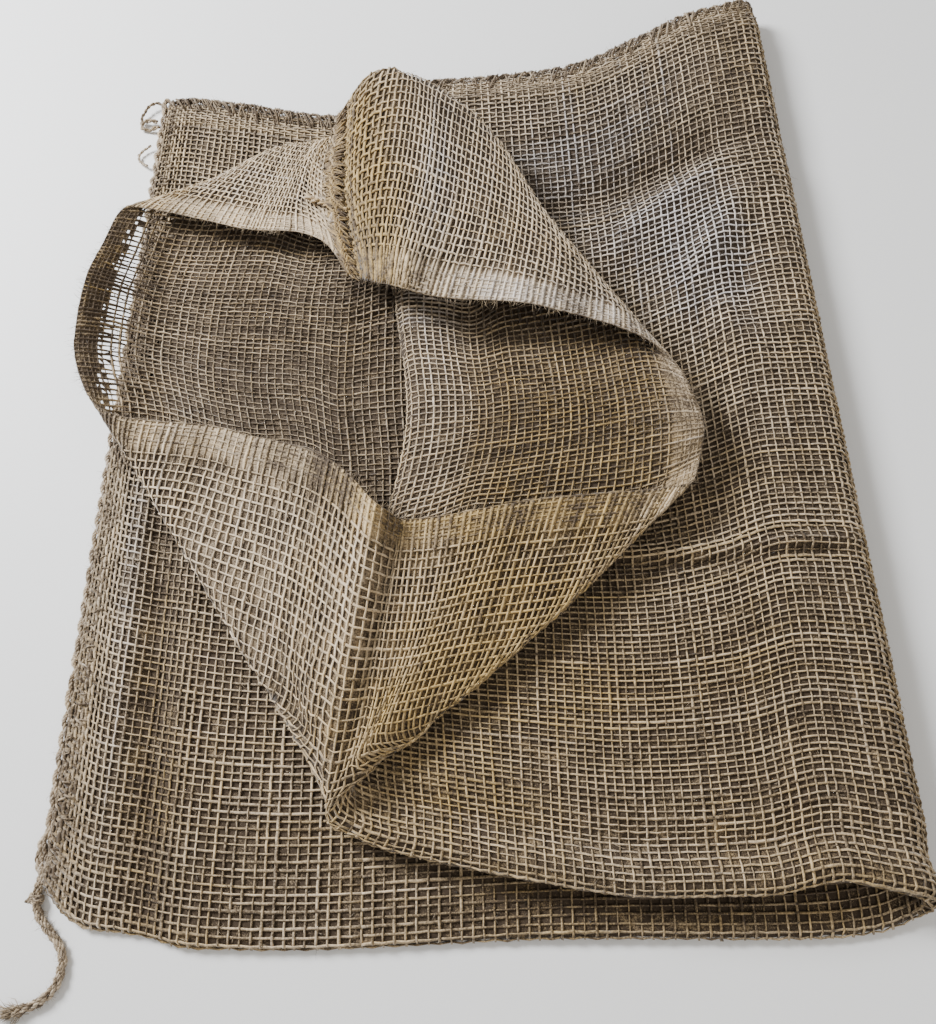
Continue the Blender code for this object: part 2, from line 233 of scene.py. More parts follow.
def sectionLoop(nets, along):
    across, points = [], []
    for side in (-1, 1):
        alongs, places, net = nets[side]
        where = np.array([along])
        rowPlaces = smoothThrough(alongs, places, where)[0]
        rowPoints = smoothThrough(alongs, net.reshape(len(alongs), -1), where)[0].reshape(-1, 3)
        across.append(side * rowPlaces)
        points.append(rowPoints)
    across = np.concatenate((across[0][:0:-1], across[1]))
    points = np.concatenate((points[0][:0:-1], points[1]))
    return across, points


def unit(vectors):
    return vectors / np.maximum(np.linalg.norm(vectors, axis=-1, keepdims=True), 1e-9)


def runAlong(points):
    # how far along the path, or along each of several, every point lies
    steps = np.linalg.norm(np.diff(points, axis=0), axis=-1)
    return np.concatenate((np.zeros((1, *steps.shape[1:])), steps.cumsum(axis=0)))


def keepOffFloor(points):
    points[..., 2] = np.maximum(points[..., 2], floorGap)
    return points


cameraLook = {
    "place": (0.0194, -0.2036, 0.4066),
    "down": 71.0,
    "roll": -7.8,
    "turn": 5.8,
    "lens": 28.125,
    "sensor": 36.0,
}


def turned(vector, axis, degrees):
    return Matrix.Rotation(math.radians(degrees), 3, axis) @ vector


def makeCamera():
    down = math.radians(cameraLook["down"])
    ahead = Vector((0, math.cos(down), -math.sin(down)))
    up = Vector((0, math.sin(down), math.cos(down)))
    right = Vector((1, 0, 0))
    roll = math.radians(cameraLook["roll"])
    right, up = (right * math.cos(roll) + up * math.sin(roll), up * math.cos(roll) - right * math.sin(roll))
    right, up, ahead = (turned(v, "Z", cameraLook["turn"]) for v in (right, up, ahead))
    eye = bpy.data.objects.new("camera", bpy.data.cameras.new("camera"))
    bpy.context.scene.collection.objects.link(eye)
    place = cameraLook["place"]
    eye.matrix_world = Matrix((
        (right.x, up.x, -ahead.x, place[0]),
        (right.y, up.y, -ahead.y, place[1]),
        (right.z, up.z, -ahead.z, place[2]),
        (0, 0, 0, 1),
    ))
    eye.data.lens = cameraLook["lens"]
    eye.data.sensor_width = cameraLook["sensor"]
    eye.data.clip_start = 0.01
    bpy.context.scene.camera = eye


lights = (
    {"name": "windowLight", "place": (-0.95, 0.60, 0.85), "size": 0.45, "power": 46,
     "colour": (0.95, 0.97, 1.0)},
    {"name": "roomLight", "place": (0.9, -0.9, 1.0), "size": 1.2, "power": 5,
     "colour": (1.0, 0.93, 0.82)},
)
skyLook = {"colour": (1.0, 0.98, 0.95), "strength": 0.52}


def makeLights():
    for look in lights:
        lamp = bpy.data.objects.new(look["name"], bpy.data.lights.new(look["name"], "AREA"))
        bpy.context.scene.collection.objects.link(lamp)
        lamp.location = look["place"]
        lamp.rotation_euler = (-lamp.location).to_track_quat("-Z", "Y").to_euler()
        lamp.data.size = look["size"]
        lamp.data.energy = look["power"]
        lamp.data.color = look["colour"]
    sky = bpy.data.worlds.new("sky")
    bpy.context.scene.world = sky
    sky.use_nodes = True
    shade = sky.node_tree.nodes["Background"]
    shade.inputs["Color"].default_value = (*skyLook["colour"], 1)
    shade.inputs["Strength"].default_value = skyLook["strength"]


makeCamera()
makeLights()
print("camera and lights placed")


def addNode(tree, kind, fixed, linked, **settings):
    # a node with its settings, the inputs that stay fixed and the sockets that feed the others
    node = tree.nodes.new(kind)
    for name, value in settings.items():
        setattr(node, name, value)
    for socket, value in fixed.items():
        node.inputs[socket].default_value = value
    for socket, source in linked.items():
        tree.links.new(source, node.inputs[socket])
    return node.outputs


def addMath(tree, operation, fixed, linked, clamp=True):
    return addNode(tree, "ShaderNodeMath", fixed, linked, operation=operation, use_clamp=clamp)["Value"]


def mixColours(tree, share, first, second):
    return addNode(tree, "ShaderNodeMix", {}, {"Factor": share, "A": first, "B": second},
                   data_type="RGBA")["Result"]


juteYarn = {
    "INPUT": {"Tone": "Float", "Gold": "Float", "Hair Scale": "Float", "Dark": "Color", "Pale": "Color",
              "Golden": "Color", "Ashen": "Color"},
    "OUTPUT": {"Color": "Color", "Roughness": "Float", "Hair": "Float"},
    "hair": {"Detail": 3.0, "Roughness": 0.7},
    "cloud": {"Scale": 16.0, "Detail": 2.0},
    "grain": 2.0,                # how much the hair changes the tone
    "ash": -1.2,
    "roughness": {"To Min": 0.95, "To Max": 0.75},
}


def makeJuteGroup():
    # colour and hair of one jute yarn: tone runs from dark to light, gold from ashen below 0 to golden
    group = bpy.data.node_groups.new("juteYarnLook", "ShaderNodeTree")
    for way in ("INPUT", "OUTPUT"):
        for name, kind in juteYarn[way].items():
            group.interface.new_socket(name=name, in_out=way, socket_type="NodeSocket" + kind)
    enter = group.nodes.new("NodeGroupInput").outputs
    leave = group.nodes.new("NodeGroupOutput").inputs
    where = addNode(group, "ShaderNodeTexCoord", {}, {})["Object"]
    hair = addNode(group, "ShaderNodeTexNoise", juteYarn["hair"],
                   {"Vector": where, "Scale": enter["Hair Scale"]})
    cloud = addNode(group, "ShaderNodeTexNoise", juteYarn["cloud"], {"Vector": where})
    grain = addMath(group, "MULTIPLY_ADD", {1: juteYarn["grain"]}, {0: hair["Fac"], 2: enter["Tone"]}, False)
    light = addMath(group, "SUBTRACT", {1: juteYarn["grain"] / 2}, {0: grain})
    golden = addMath(group, "MULTIPLY", {}, {0: enter["Gold"], 1: cloud["Fac"]})
    ashen = addMath(group, "MULTIPLY", {1: juteYarn["ash"]}, {0: enter["Gold"]})
    tint = mixColours(group, golden, mixColours(group, ashen, enter["Pale"], enter["Ashen"]), enter["Golden"])
    rough = addNode(group, "ShaderNodeMapRange", juteYarn["roughness"], {"Value": hair["Fac"]})
    group.links.new(mixColours(group, light, enter["Dark"], tint), leave["Color"])
    group.links.new(rough["Result"], leave["Roughness"])
    group.links.new(hair["Fac"], leave["Hair"])
    return group


juteGroup = makeJuteGroup()

juteFinishes = {
    "juteCloth": {"hairScale": 950.0, "bump": 0.6, "bumpDepth": 0.0003, "sheen": 0.2,
                  "dark": (0.080, 0.054, 0.031, 1), "pale": (0.77, 0.62, 0.44, 1),
                  "golden": (0.62, 0.425, 0.165, 1), "ashen": (0.70, 0.655, 0.63, 1)},
    "juteTwine": {"hairScale": 1100.0, "bump": 0.7, "bumpDepth": 0.0004, "sheen": 0.2,
                  "dark": (0.085, 0.055, 0.030, 1), "pale": (0.64, 0.52, 0.38, 1),
                  "golden": (0.56, 0.38, 0.15, 1), "ashen": (0.60, 0.56, 0.53, 1)},
    "juteFibre": {"hairScale": 1500.0, "bump": 0.6, "bumpDepth": 0.0003, "sheen": 0.1,
                  "dark": (0.048, 0.032, 0.019, 1), "pale": (0.66, 0.53, 0.38, 1),
                  "golden": (0.56, 0.38, 0.15, 1), "ashen": (0.60, 0.56, 0.53, 1)},
}


juteSheen = {"Sheen Roughness": 0.5, "Specular IOR Level": 0.25}
floorLook = {"size": 6.0, "colour": (0.88, 0.88, 0.87, 1), "clouds": 3.0,
             "roughness": {"To Min": 0.55, "To Max": 0.65}}


def newMaterial(name):
    material = bpy.data.materials.new(name)
    material.use_nodes = True
    return material, material.node_tree, material.node_tree.nodes["Principled BSDF"].inputs


def makeJute(name):
    finish = juteFinishes[name]
    material, tree, shader = newMaterial(name)
    held = {socket: addNode(tree, "ShaderNodeAttribute", {}, {}, attribute_name=socket.lower())["Fac"]
            for socket in ("Tone", "Gold")}
    chosen = {socket: finish[socket.lower()] for socket in ("Dark", "Pale", "Golden", "Ashen")}
    look = addNode(tree, "ShaderNodeGroup", {"Hair Scale": finish["hairScale"], **chosen}, held,
                   node_tree=juteGroup)
    bump = addNode(tree, "ShaderNodeBump", {"Strength": finish["bump"], "Distance": finish["bumpDepth"]},
                   {"Height": look["Hair"]})
    tree.links.new(look["Color"], shader["Base Color"])
    tree.links.new(look["Roughness"], shader["Roughness"])
    tree.links.new(bump["Normal"], shader["Normal"])
    for socket, value in {"Sheen Weight": finish["sheen"], **juteSheen}.items():
        shader[socket].default_value = value
    return material


def makeFloorFinish():
    material, tree, shader = newMaterial("paleFloor")
    cloud = addNode(tree, "ShaderNodeTexNoise", {"Scale": floorLook["clouds"]}, {})
    rough = addNode(tree, "ShaderNodeMapRange", floorLook["roughness"], {"Value": cloud["Fac"]})
    tree.links.new(rough["Result"], shader["Roughness"])
    shader["Base Color"].default_value = floorLook["colour"]
    return material


finishes = {name: makeJute(name) for name in juteFinishes}
print("jute finishes made")


# The woven cloth has one tube for every yarn. spread is how far yarns differ and reach how many crossings a
# change takes.
weave = {
    "overPitch": 3.4 * mm,       # between yarns that run along the over ply
    "underPitch": 3.0 * mm,      # and along the under ply
    "seamPitch": 2.0 * mm,       # and closer beside the side seam
    "seamWidth": 14 * mm,
    "bandPitch": 2.2 * mm,       # between cross yarns in the woven edge at the mouth
    "bandWidth": 14 * mm,
    "evenFrom": 600 * mm,        # from here to the mouth the cross yarns share out the cloth evenly
    "evenBlend": 60 * mm,
    "evenStep": 2 * mm,
    "foldStep": 1.5 * mm,        # between the sections that the yarns are read from
    "margin": 0.8 * mm,          # of the first and last yarns from the cloth's edges
    "radius": 0.49 * mm,
    "bandRadius": 0.42 * mm,
    "ribRadius": 0.68 * mm,      # long yarns stand out as ribs there
    "bandFlat": 0.25,            # how much less the yarns rise there
    "bandDim": 0.08,             # the cross yarns are darker there
    "crimp": 0.40 * mm,          # how far a yarn rises and dips at each crossing
    "drift": 0.42 * mm,          # slow shift shared by neighbouring yarns
    "wander": 0.17 * mm,         # slow shift of one yarn
    "jitter": 0.06 * mm,         # and at each crossing
    "driftReach": {"along": (7, 12), "across": (9, 9)},
    "wanderReach": {"along": 7, "across": 6},
    "riseSpread": 0.2,
    "thickSpread": 0.11,
    "slubs": 0.18,               # thick and thin places of a yarn
    "slubReach": 2,
    "thickLimits": (0.6, 1.7),
    "tone": 0.52,
    "gold": 0.55,
    "glint": 0.13,               # change of tone from one crossing to the next
    "toneSpread": 0.09,
    "toneReach": 5,
    "streaks": (0.04, 0.14),     # lighter and darker long yarns, on the cloth and in the band
    "streakReach": 1.5,
    "goldDrift": 0.12,
    "goldDriftReach": (10, 14),
    "goldSpread": 0.22,
    "goldReach": 14,
    "rollSpread": 0.15,
    "sides": 3,
    "bands": ("weaveFoot", "weaveLower", "weaveHalfFold", "weaveUpper", "weaveMouth"),
    "seed": 7,
}

# The pitch of the yarns that run across the bag, at places along it.
crossPitch = {
    "columns": ("along", "pitch"),
    "rows": ((0, 2.2), (12, 2.5), (20, 3.6), (55, 3.8), (95, 5.0), (300, 5.0), (400, 4.4), (520, 4.3),
             (640, 4.3), (700, 4.5), (825, 4.5)),
}

# Where six long yarns of each ply, evenly counted, come to across the bag, and the edge of the close
# yarns at the side seam. Towards the mouth the weave is pulled askew, so the yarns stay straight on the
# floor of the opening and turn over into the flaps.
yarnDrift = {
    "columns": ("along", "first", "second", "third", "fourth", "fifth", "sixth", "seam"),
    "counted": (0, 50, 100, 180, 260, 340, 400, 456, 470),
    "over": (
        (0, 50, 101, 184, 266, 342, 399, 456),
        (300, 50, 101, 184, 266, 342, 399, 456),
        (620, 68, 142, 224, 311, 382, 421, 456),
        (694, 64, 138, 223, 311, 382, 421, 456),
        (767, 54, 120, 208, 287, 360, 408, 450),
        (840, 49, 108, 193, 263, 335, 391, 441),
    ),
    "under": (
        (0, 50, 100, 180, 260, 340, 400, 456),
        (360, 46, 92, 166, 241, 323, 388, 456),
        (600, 46, 91, 164, 239, 322, 387, 456),
        (680, 46, 92, 168, 264, 340, 396, 456),
        (760, 52, 104, 187, 253, 341, 402, 456),
        (840, 58, 117, 199, 264, 350, 410, 455),
    ),
}

# Soft ridges (lift above 0) and troughs on the outer face, in millimetres. lean turns one in degrees, and
# across is negative on the over ply.
softFolds = {
    "columns": ("along", "across", "reachAlong", "reachAcross", "lean", "lift"),
    "rows": (
        (515, 146.2, 36, 1.7, 7.7, -2.6),    # the sharp crease in the upper part, in two lengths
        (450, 139.3, 15, 1.7, -4, -2.4),
        (515, 151.0, 36, 3.2, 7.7, 3.6),
        (450, 144.3, 15, 3.2, -4, 3.0),
        (472, 313, 28, 7, -49, 4.4),         # waves beyond it
        (512, 369, 46, 8, -4, -5.0),
        (500, 347, 32, 6, -20, 3.2),
        (457, 288, 18, 6, -80, -3.4),
        (467, 253, 24, 7, 58, 3.0),
        (520, 330, 50, 10, -10, 2.2),
        (560, 110, 90, 16, 4, 1.0),
        (560, 60, 90, 10, 3, -0.8),
        (545, 9, 110, 5, 1, 2.0),            # roll along the near crease
        (545, 22, 110, 5, 1, -3.4),
        (27, -150, 6, 100, 0, 2.9),          # waves beside the bottom seam
        (42, -125, 6, 95, -6, -2.6),
        (62, -110, 10, 90, -6, 2.2),
        (676, -306, 26, 2.6, 0, 2.0),        # small crease on the floor of the mouth
        (808, 15, 46, 9, 0, 3.0),            # fills the turn of the right flap at its crease
        (790, -120, 20, 24, 0, 1.4),         # swells on the flaps
        (780, 60, 26, 20, 0, -1.0),
        (790, 380, 22, 12, -40, 1.6),
    ),
}


def softNoise(rng, shape, reach):
    # random values along the last axis, smoothed over reach steps and brought back to a spread of 1
    kernel = np.exp(-0.5 * (np.arange(-3 * reach, 3 * reach + 1) / reach) ** 2)
    kernel /= np.sqrt((kernel ** 2).sum())
    raw = rng.normal(size=(shape[0], shape[1] + len(kernel) - 1))
    return np.array([np.convolve(row, kernel, "valid") for row in raw])


def softField(rng, rows, columns, rowReach, columnReach):
    # smooth in both ways, for what neighbouring yarns share
    field = softNoise(rng, (rows, columns), columnReach)
    smooth = np.exp(-0.5 * (np.arange(-3 * rowReach, 3 * rowReach + 1) / rowReach) ** 2)
    smooth /= np.sqrt((smooth ** 2).sum())
    padded = np.pad(field, ((3 * rowReach, 3 * rowReach), (0, 0)), "reflect")
    return np.array([np.convolve(column, smooth, "valid") for column in padded.T]).T


# Where the jute is paler or darker (tone), or more golden (gold), than the rest. Many of these patches are
# painted light and shade: paler and greyer where the window light falls, darker and more golden on sides
# turned from it and in hollows.
tintsAndPaintedLight = {
    "columns": ("along", "across", "reachAlong", "reachAcross", "lean", "tone", "gold", "full"),
    "rows": (
        # the right flap faces away from the window light, so it is more golden: painted warm shade
        (760, 60, 80, 70, 0, 0.06, 1.10, 0.12),       # right flap
        (700, 0, 40, 26, 0, -0.12, 0.30, 0.15),       # tip of the flaps
        # the left flap faces the window light, so it is paler and less golden: painted light
        (785, -90, 60, 75, 0, 0.38, -0.20, 0.08),     # left flap
        (832, -100, 10, 110, 0, -0.34, 0.25, 0.0),
        # a paler strip along the left flap's crease edge, where the light catches it: painted light
        (800, -8, 50, 8, 0, 0.20, -0.3, 0.15),
        # the far left flap, the far flap and its rim face the window light, so they are paler and greyer:
        # painted light
        (790, -400, 45, 50, 0, 0.36, -0.35, 0.05),   # far left flap
        (785, 375, 50, 60, 0, 0.28, -0.15, 0.08),    # far flap
        (834, 360, 9, 80, 0, 0.0, -0.72, 0.10),
        # the far flap's steep side down to the side seam is darker and golden: painted shade of a side turned
        # from the light; the row at 472 lightens the seam's own edge again
        (795, 454, 45, 13, 0, -0.20, 1.80, 0.60),
        (834, 436, 12, 26, 0, -0.26, 1.60, 0.30),    # beside the side seam
        (795, 472, 50, 6, 0, 0.14, 1.00, 0.10),
        (815, 438, 22, 22, 0, -0.08, 0.90, 0.35),
        (790, 408, 40, 11, 0, 0.0, -0.72, 0.10),     # grey streak on the far flap
        # the crest of the roll catches the window light, so it is paler and greyer: painted highlight
        (680, 240, 12, 130, 0, 0.28, -0.72, 0.05),   # crest of the roll
        (698, 235, 12, 100, 0, 0.18, -0.30, 0.0),
        # the inner side of the right flap lies in shade, so it is darker and golden: painted shade
        (765, 215, 55, 45, 0, -0.14, 1.10, 0.05),    # inner side of the right flap
        (830, 215, 14, 60, 0, -0.10, -0.85, 0.10),
        (836, -30, 9, 40, 0, -0.10, 0.40, 0.1),      # golden rim of the right flap
        (836, 75, 9, 60, 0, -0.10, 1.00, 0.1),
        # painted shade along the trough of the sharp crease, and a painted highlight on its ridge beyond
        (515, 145.9, 36, 1.5, 7.7, -0.25, 0.2, 0.2),
        (515, 152.0, 36, 2.6, 7.7, 0.12, 0.0, 0.1),  # shadowed line of the sharp crease
        (450, 139.0, 20, 1.5, -4, -0.25, 0.2, 0.2),
        (705, -235, 26, 90, 0, -0.14, 0.30, 0.0),    # floor of the mouth beside the roll
        (750, -250, 40, 90, 0, -0.14, -0.40, 0.0),
        # painted light and shade on the upper ply: paler and greyer on the wave crests and towards the window
        # at the far side, darker and golden in the troughs and on the near part
        (474, 304, 28, 36, -40, 0.32, -1.35, 0.0),   # pale and grey, on the upper part
        (520, 380, 80, 70, 0, 0.02, -0.70, 0.0),
        (500, 347, 34, 7, -20, 0.12, -0.40, 0.0),
        (512, 370, 46, 7, -4, -0.16, 0.20, 0.0),
        (436, 300, 14, 60, 0, -0.06, 0.50, 0.0),
        (560, 90, 150, 90, 0, -0.02, 0.60, 0.0),
        (505, 360, 50, 14, -8, -0.05, 0.2, 0.0),
        (430, 440, 26, 40, 0, -0.05, 0.60, 0.1),
        # golden where the cloth turns over at the half fold, as light comes through the turned yarns: painted
        # light
        (412, 200, 9, 260, 0, -0.06, 0.60, 0.35),    # round the half fold, on both plies
        (412, -250, 9, 200, 0, -0.06, 0.30, 0.35),
        (440, 6, 40, 12, 0, -0.04, 0.50, 0.2),
        (290, -22, 85, 26, 0, -0.22, 0.90, -0.1),
        # painted highlight on a ridge at the far side and painted shade in the hollow beside it
        (550, 395, 45, 24, -15, -0.03, -0.80, 0.0),   # grey ridge and brown hollow at the far side
        (478, 398, 40, 13, -10, -0.14, 0.50, 0.0),
        # painted highlight on the wave crest beside the bottom seam and painted shade in the trough beyond it
        (26, -160, 7, 130, 0, 0.14, -0.90, 0.0),     # beside the bottom seam
        (44, -130, 8, 130, -6, -0.32, 0.60, 0.0),
        (5, -200, 8, 400, 0, -0.20, -0.05, 0.45),    # along the bottom seam
        (5, 200, 8, 400, 0, -0.20, 0.0, 0.45),
        (420, 466, 900, 11, 0, -0.16, 0.10, 0.35),   # and along the side seam
        (420, -466, 900, 11, 0, -0.16, 0.10, 0.35),
        (110, -60, 70, 50, 0, 0.06, 0.05, 0.10),
        (130, -200, 120, 90, 0, 0.12, -0.25, 0.0),
        # the ply on the floor, under the ply on top, is darker: painted shade, as well as thicker yarns
        (90, 235, 120, 200, 0, -0.20, 0.20, 0.4),    # thicker yarns in the ply on the floor
        (260, 60, 120, 50, 0, -0.20, 0.20, 0.3),
        # the inner side of the left rim is turned from the light, so it is dark and golden: painted shade
        (826, -262, 20, 50, 0, -0.56, 1.00, 0.50),   # inner side of the left rim
        (815, -300, 16, 26, 0, -0.30, 0.40, 0.0),
    ),
}


# Matted fibre closes the holes (usual), apart from where fill is far below 0. Where fill is above 0 the fibre
# is paler too, because it takes more of the yarns' own tone (the shares). Elsewhere it takes little of it and
# is
# dimmed away from the woven edges: painted shade in the holes, on real matted fibre.
feltLook = {
    "usual": 1.0, "sheltered": 0.10, "grounded": 0.75, "groundBelow": 4 * mm, "groundShelter": 0.3,
    "lift": (-1.0 * mm, -0.25 * mm), "paintedShade": 0.17, "uneven": 0.15, "goldSpread": 0.15, "seed": 31,
    "share": 0.07, "shareFull": 0.60, "shareInBand": 0.96,
    "wholePower": 1.5,           # how soon both halves of a hole close together
    "edge": 6 * mm, "seamBand": 14 * mm,
    "columns": ("along", "across", "reachAlong", "reachAcross", "lean", "fill"),
    "rows": (
        (785, -90, 70, 80, 0, 0.50),         # left and right flaps
        (760, 60, 90, 75, 0, 0.55),
        (838, 0, 14, 900, 0, 0.55),          # along the rim
        (785, 375, 50, 60, 0, 0.20),
        (790, -400, 45, 50, 0, 0.25),
        (790, 455, 60, 20, 0, 0.9),
        (4, 0, 9, 900, 0, 0.8),              # along the seams
        (420, 466, 900, 11, 0, 0.7),
        (420, -466, 900, 11, 0, 0.7),
        (765, 215, 60, 60, 0, 0.14),         # inner side of the right flap
        (822, 215, 18, 60, 0, 0.6),
        (811, -262, 9, 60, 0, -2.4),         # open inner side of the left rim
        (130, -200, 140, 200, 0, 0.16),      # near part of the ply on top
        (280, -20, 90, 26, 0, 0.55),
        (412, 200, 12, 260, 0, 0.40),        # round the half fold
        (412, -250, 12, 200, 0, 0.40),
        (500, 147, 60, 6, 5, 0.2),           # the sharp crease
        (540, 15, 110, 12, 1, 0.45),
        (36, -300, 22, 150, 0, 0.35),        # towards the corners of the bottom seam
        (440, 425, 40, 30, 0, 0.4),
    ),
}


def patches(chart, name, along, across):
    # the sum of a table's soft oval patches
    total = np.zeros(np.broadcast(along, across).shape)
    for row in rowsOf(chart):
        lean = math.radians(row["lean"])
        a = (along - row["along"] * mm) * math.cos(lean) + (across - row["across"] * mm) * math.sin(lean)
        b = (across - row["across"] * mm) * math.cos(lean) - (along - row["along"] * mm) * math.sin(lean)
        total += row[name] * np.exp(-0.5 * ((a / (row["reachAlong"] * mm)) ** 2
                                            + (b / (row["reachAcross"] * mm)) ** 2))
    return total


def yarnPlaces():
    # the places along the bag of the cross yarns, and the places across it of the long yarns
    end = bagSizes["length"] - weave["margin"]
    band = np.arange(end, end - weave["bandWidth"], -weave["bandPitch"])[::-1]
    pitches = np.array(crossPitch["rows"], float) * mm
    body = [weave["margin"]]
    while body[-1] < band[0]:
        body.append(body[-1] + np.interp(body[-1], pitches[:, 0], pitches[:, 1]))
    body = np.array(body)
    body = (body - body[0]) * (band[0] - body[0]) / (body[-1] - body[0]) + body[0]
    side = bagSizes["width"] - weave["margin"]
    seam = np.arange(side, side - weave["seamWidth"], -weave["seamPitch"])[::-1]
    over, under = (np.concatenate((np.linspace(0, seam[0], round(seam[0] / weave[pitch]) + 1), seam[1:]))
                   for pitch in ("overPitch", "underPitch"))
    return np.concatenate((body[:-1], band)), np.concatenate((-over[:0:-1], under))


def driftedPlaces(along, acrosses):
    # where the long yarns lie across the bag at one place along it
    knots = np.array(yarnDrift["counted"]) * mm
    moved = {}
    for ply in ("over", "under"):
        rows = np.array(yarnDrift[ply], float) * mm
        row = smoothThrough(rows[:, 0], rows, np.array([along]))[0]
        moved[ply] = smoothThrough(knots, np.array([[0, *row[1:], bagSizes["width"]]]).T, abs(acrosses))[:, 0]
    return np.where(acrosses < 0, -moved["over"], moved["under"])


def evenAlongs(nets, alongs, acrosses):
    # for each long yarn, the places along the bag that share out its length evenly towards the mouth
    start, end = weave["evenFrom"], bagSizes["length"]
    steps = np.arange(start, end + mm, weave["evenStep"])
    path = np.empty((len(steps), len(acrosses), 3))
    for i, along in enumerate(steps):
        places, points = sectionLoop(nets, along)
        path[i] = smoothThrough(places, points, driftedPlaces(along, acrosses))
    run = runAlong(path)
    wanted = np.clip((alongs - start) / (end - start), 0, 1)
    even = np.empty((len(alongs), len(acrosses)))
    for j in range(len(acrosses)):
        even[:, j] = np.interp(wanted * run[-1, j], run[:, j], steps)
    blend = np.clip((alongs - start) / weave["evenBlend"], 0, 1)[:, None]
    return np.where(alongs[:, None] > start, alongs[:, None] * (1 - blend) + even * blend, alongs[:, None])


def clothPoints(nets, alongs, acrosses):
    # the middle of the cloth at every crossing; alongs is (rows, columns)
    dense = np.append(np.arange(0, bagSizes["length"], weave["foldStep"]), bagSizes["length"])
    sheet = np.empty((len(dense), len(acrosses), 3))
    places = np.empty((len(dense), len(acrosses)))
    for i, along in enumerate(dense):
        places[i] = driftedPlaces(along, acrosses)
        across, points = sectionLoop(nets, along)
        sheet[i] = smoothThrough(across, points, places[i])
    middle = np.empty((*alongs.shape, 3))
    spots = np.empty(alongs.shape)
    for j in range(len(acrosses)):
        for k in range(3):
            middle[:, j, k] = np.interp(alongs[:, j], dense, sheet[:, j, k])
        spots[:, j] = np.interp(alongs[:, j], dense, places[:, j])
    return middle - (*bagSizes["middle"], 0), spots


def crossings(nets, alongs, acrosses):
    # the middle of the cloth at every crossing, with the direction that faces into the bag
    shared = evenAlongs(nets, alongs, acrosses)
    middle, spots = clothPoints(nets, shared, acrosses)
    inside = unit(np.cross(np.gradient(middle, axis=0), np.gradient(middle, axis=1)))
    middle = middle - inside * patches(softFolds, "lift", shared, spots)[..., None] * mm
    alongWay = unit(np.gradient(middle, axis=0))
    acrossWay = unit(np.gradient(middle, axis=1))
    inside = unit(np.cross(alongWay, acrossWay))
    return {"middle": middle, "inside": inside, "alongWay": alongWay, "acrossWay": acrossWay,
            "along": shared, "across": spots}


# paintedShade is how much darker the yarns under other cloth are made: painted shade
shelterLook = {"stride": 3, "above": 1.6 * mm, "ahead": 0.6 * mm, "reach": 70 * mm, "tilt": 35, "turns": 4,
               "paintedShade": 0.52, "fuller": 0.35}


def shelterOf(lattice):
    # how far each crossing lies under other cloth, where the yarns are fuller and darker by painted shade
    middle = lattice["middle"]
    rows, columns = (np.unique(np.append(np.arange(0, count, shelterLook["stride"]), count - 1))
                     for count in middle.shape[:2])
    coarse = middle[np.ix_(rows, columns)]
    wide = len(columns)
    corners = (np.arange(len(rows) - 1)[:, None] * wide + np.arange(wide - 1)).reshape(-1)
    quads = np.stack((corners, corners + 1, corners + wide + 1, corners + wide), 1)
    tree = BVHTree.FromPolygons([Vector(point) for point in coarse.reshape(-1, 3)], quads.tolist())
    tilt = math.radians(shelterLook["tilt"])
    turns = [2 * math.pi * k / shelterLook["turns"] for k in range(shelterLook["turns"])]
    ways = [Vector(level)] + [Vector((math.sin(tilt) * math.cos(turn), math.sin(tilt) * math.sin(turn),
                                      math.cos(tilt))) for turn in turns]
    covered = np.zeros(coarse.shape[:2])
    for i in range(coarse.shape[0]):
        for j in range(coarse.shape[1]):
            start = Vector(coarse[i, j]) + Vector((0, 0, shelterLook["above"]))
            hits = [tree.ray_cast(start + way * shelterLook["ahead"], way, shelterLook["reach"])[0]
                    for way in ways]
            covered[i, j] = sum(hit is not None for hit in hits) / len(ways)
    wideCover = np.array([np.interp(np.arange(middle.shape[1]), columns, row) for row in covered])
    return np.array([np.interp(np.arange(middle.shape[0]), rows, column) for column in wideCover.T]).T


def tubeRings(centres, up, radius, roll, sides):
    # centres and up are (yarns, rings, 3), radius and roll are (yarns, rings)
    way = unit(np.gradient(centres, axis=1))
    beside = unit(np.cross(way, up))
    above = np.cross(beside, way)
    angle = roll[..., None] + np.arange(sides) * 2 * math.pi / sides
    spoke = np.cos(angle)[..., None] * above[:, :, None] + np.sin(angle)[..., None] * beside[:, :, None]
    return centres[:, :, None] + spoke * radius[..., None, None]


def tubeFaces(yarns, rings, sides, first):
    # the sides of the tubes as quads and their two ends as caps
    base = first + (np.arange(yarns)[:, None, None] * rings + np.arange(rings - 1)[None, :, None]) * sides
    k = np.arange(sides)[None, None, :]
    after = (k + 1) % sides
    corners = (base + k, base + sides + k, base + sides + after, base + after)
    quads = np.stack(np.broadcast_arrays(*corners), axis=-1)
    starts = first + np.arange(yarns)[:, None] * rings * sides + np.arange(sides)
    ends = starts + (rings - 1) * sides
    return quads.reshape(-1, 4), starts, ends[:, ::-1]


# one strip of the bake map, as shares of its width and of the map's length, with its caps past its ends
bakeStrip = {"inset": 0.08, "tall": 0.84, "start": 0.004, "length": 0.992,
             "capStart": 0.0038, "capEnd": 0.9962, "capBulge": 0.0035, "capEdge": 0.0005}


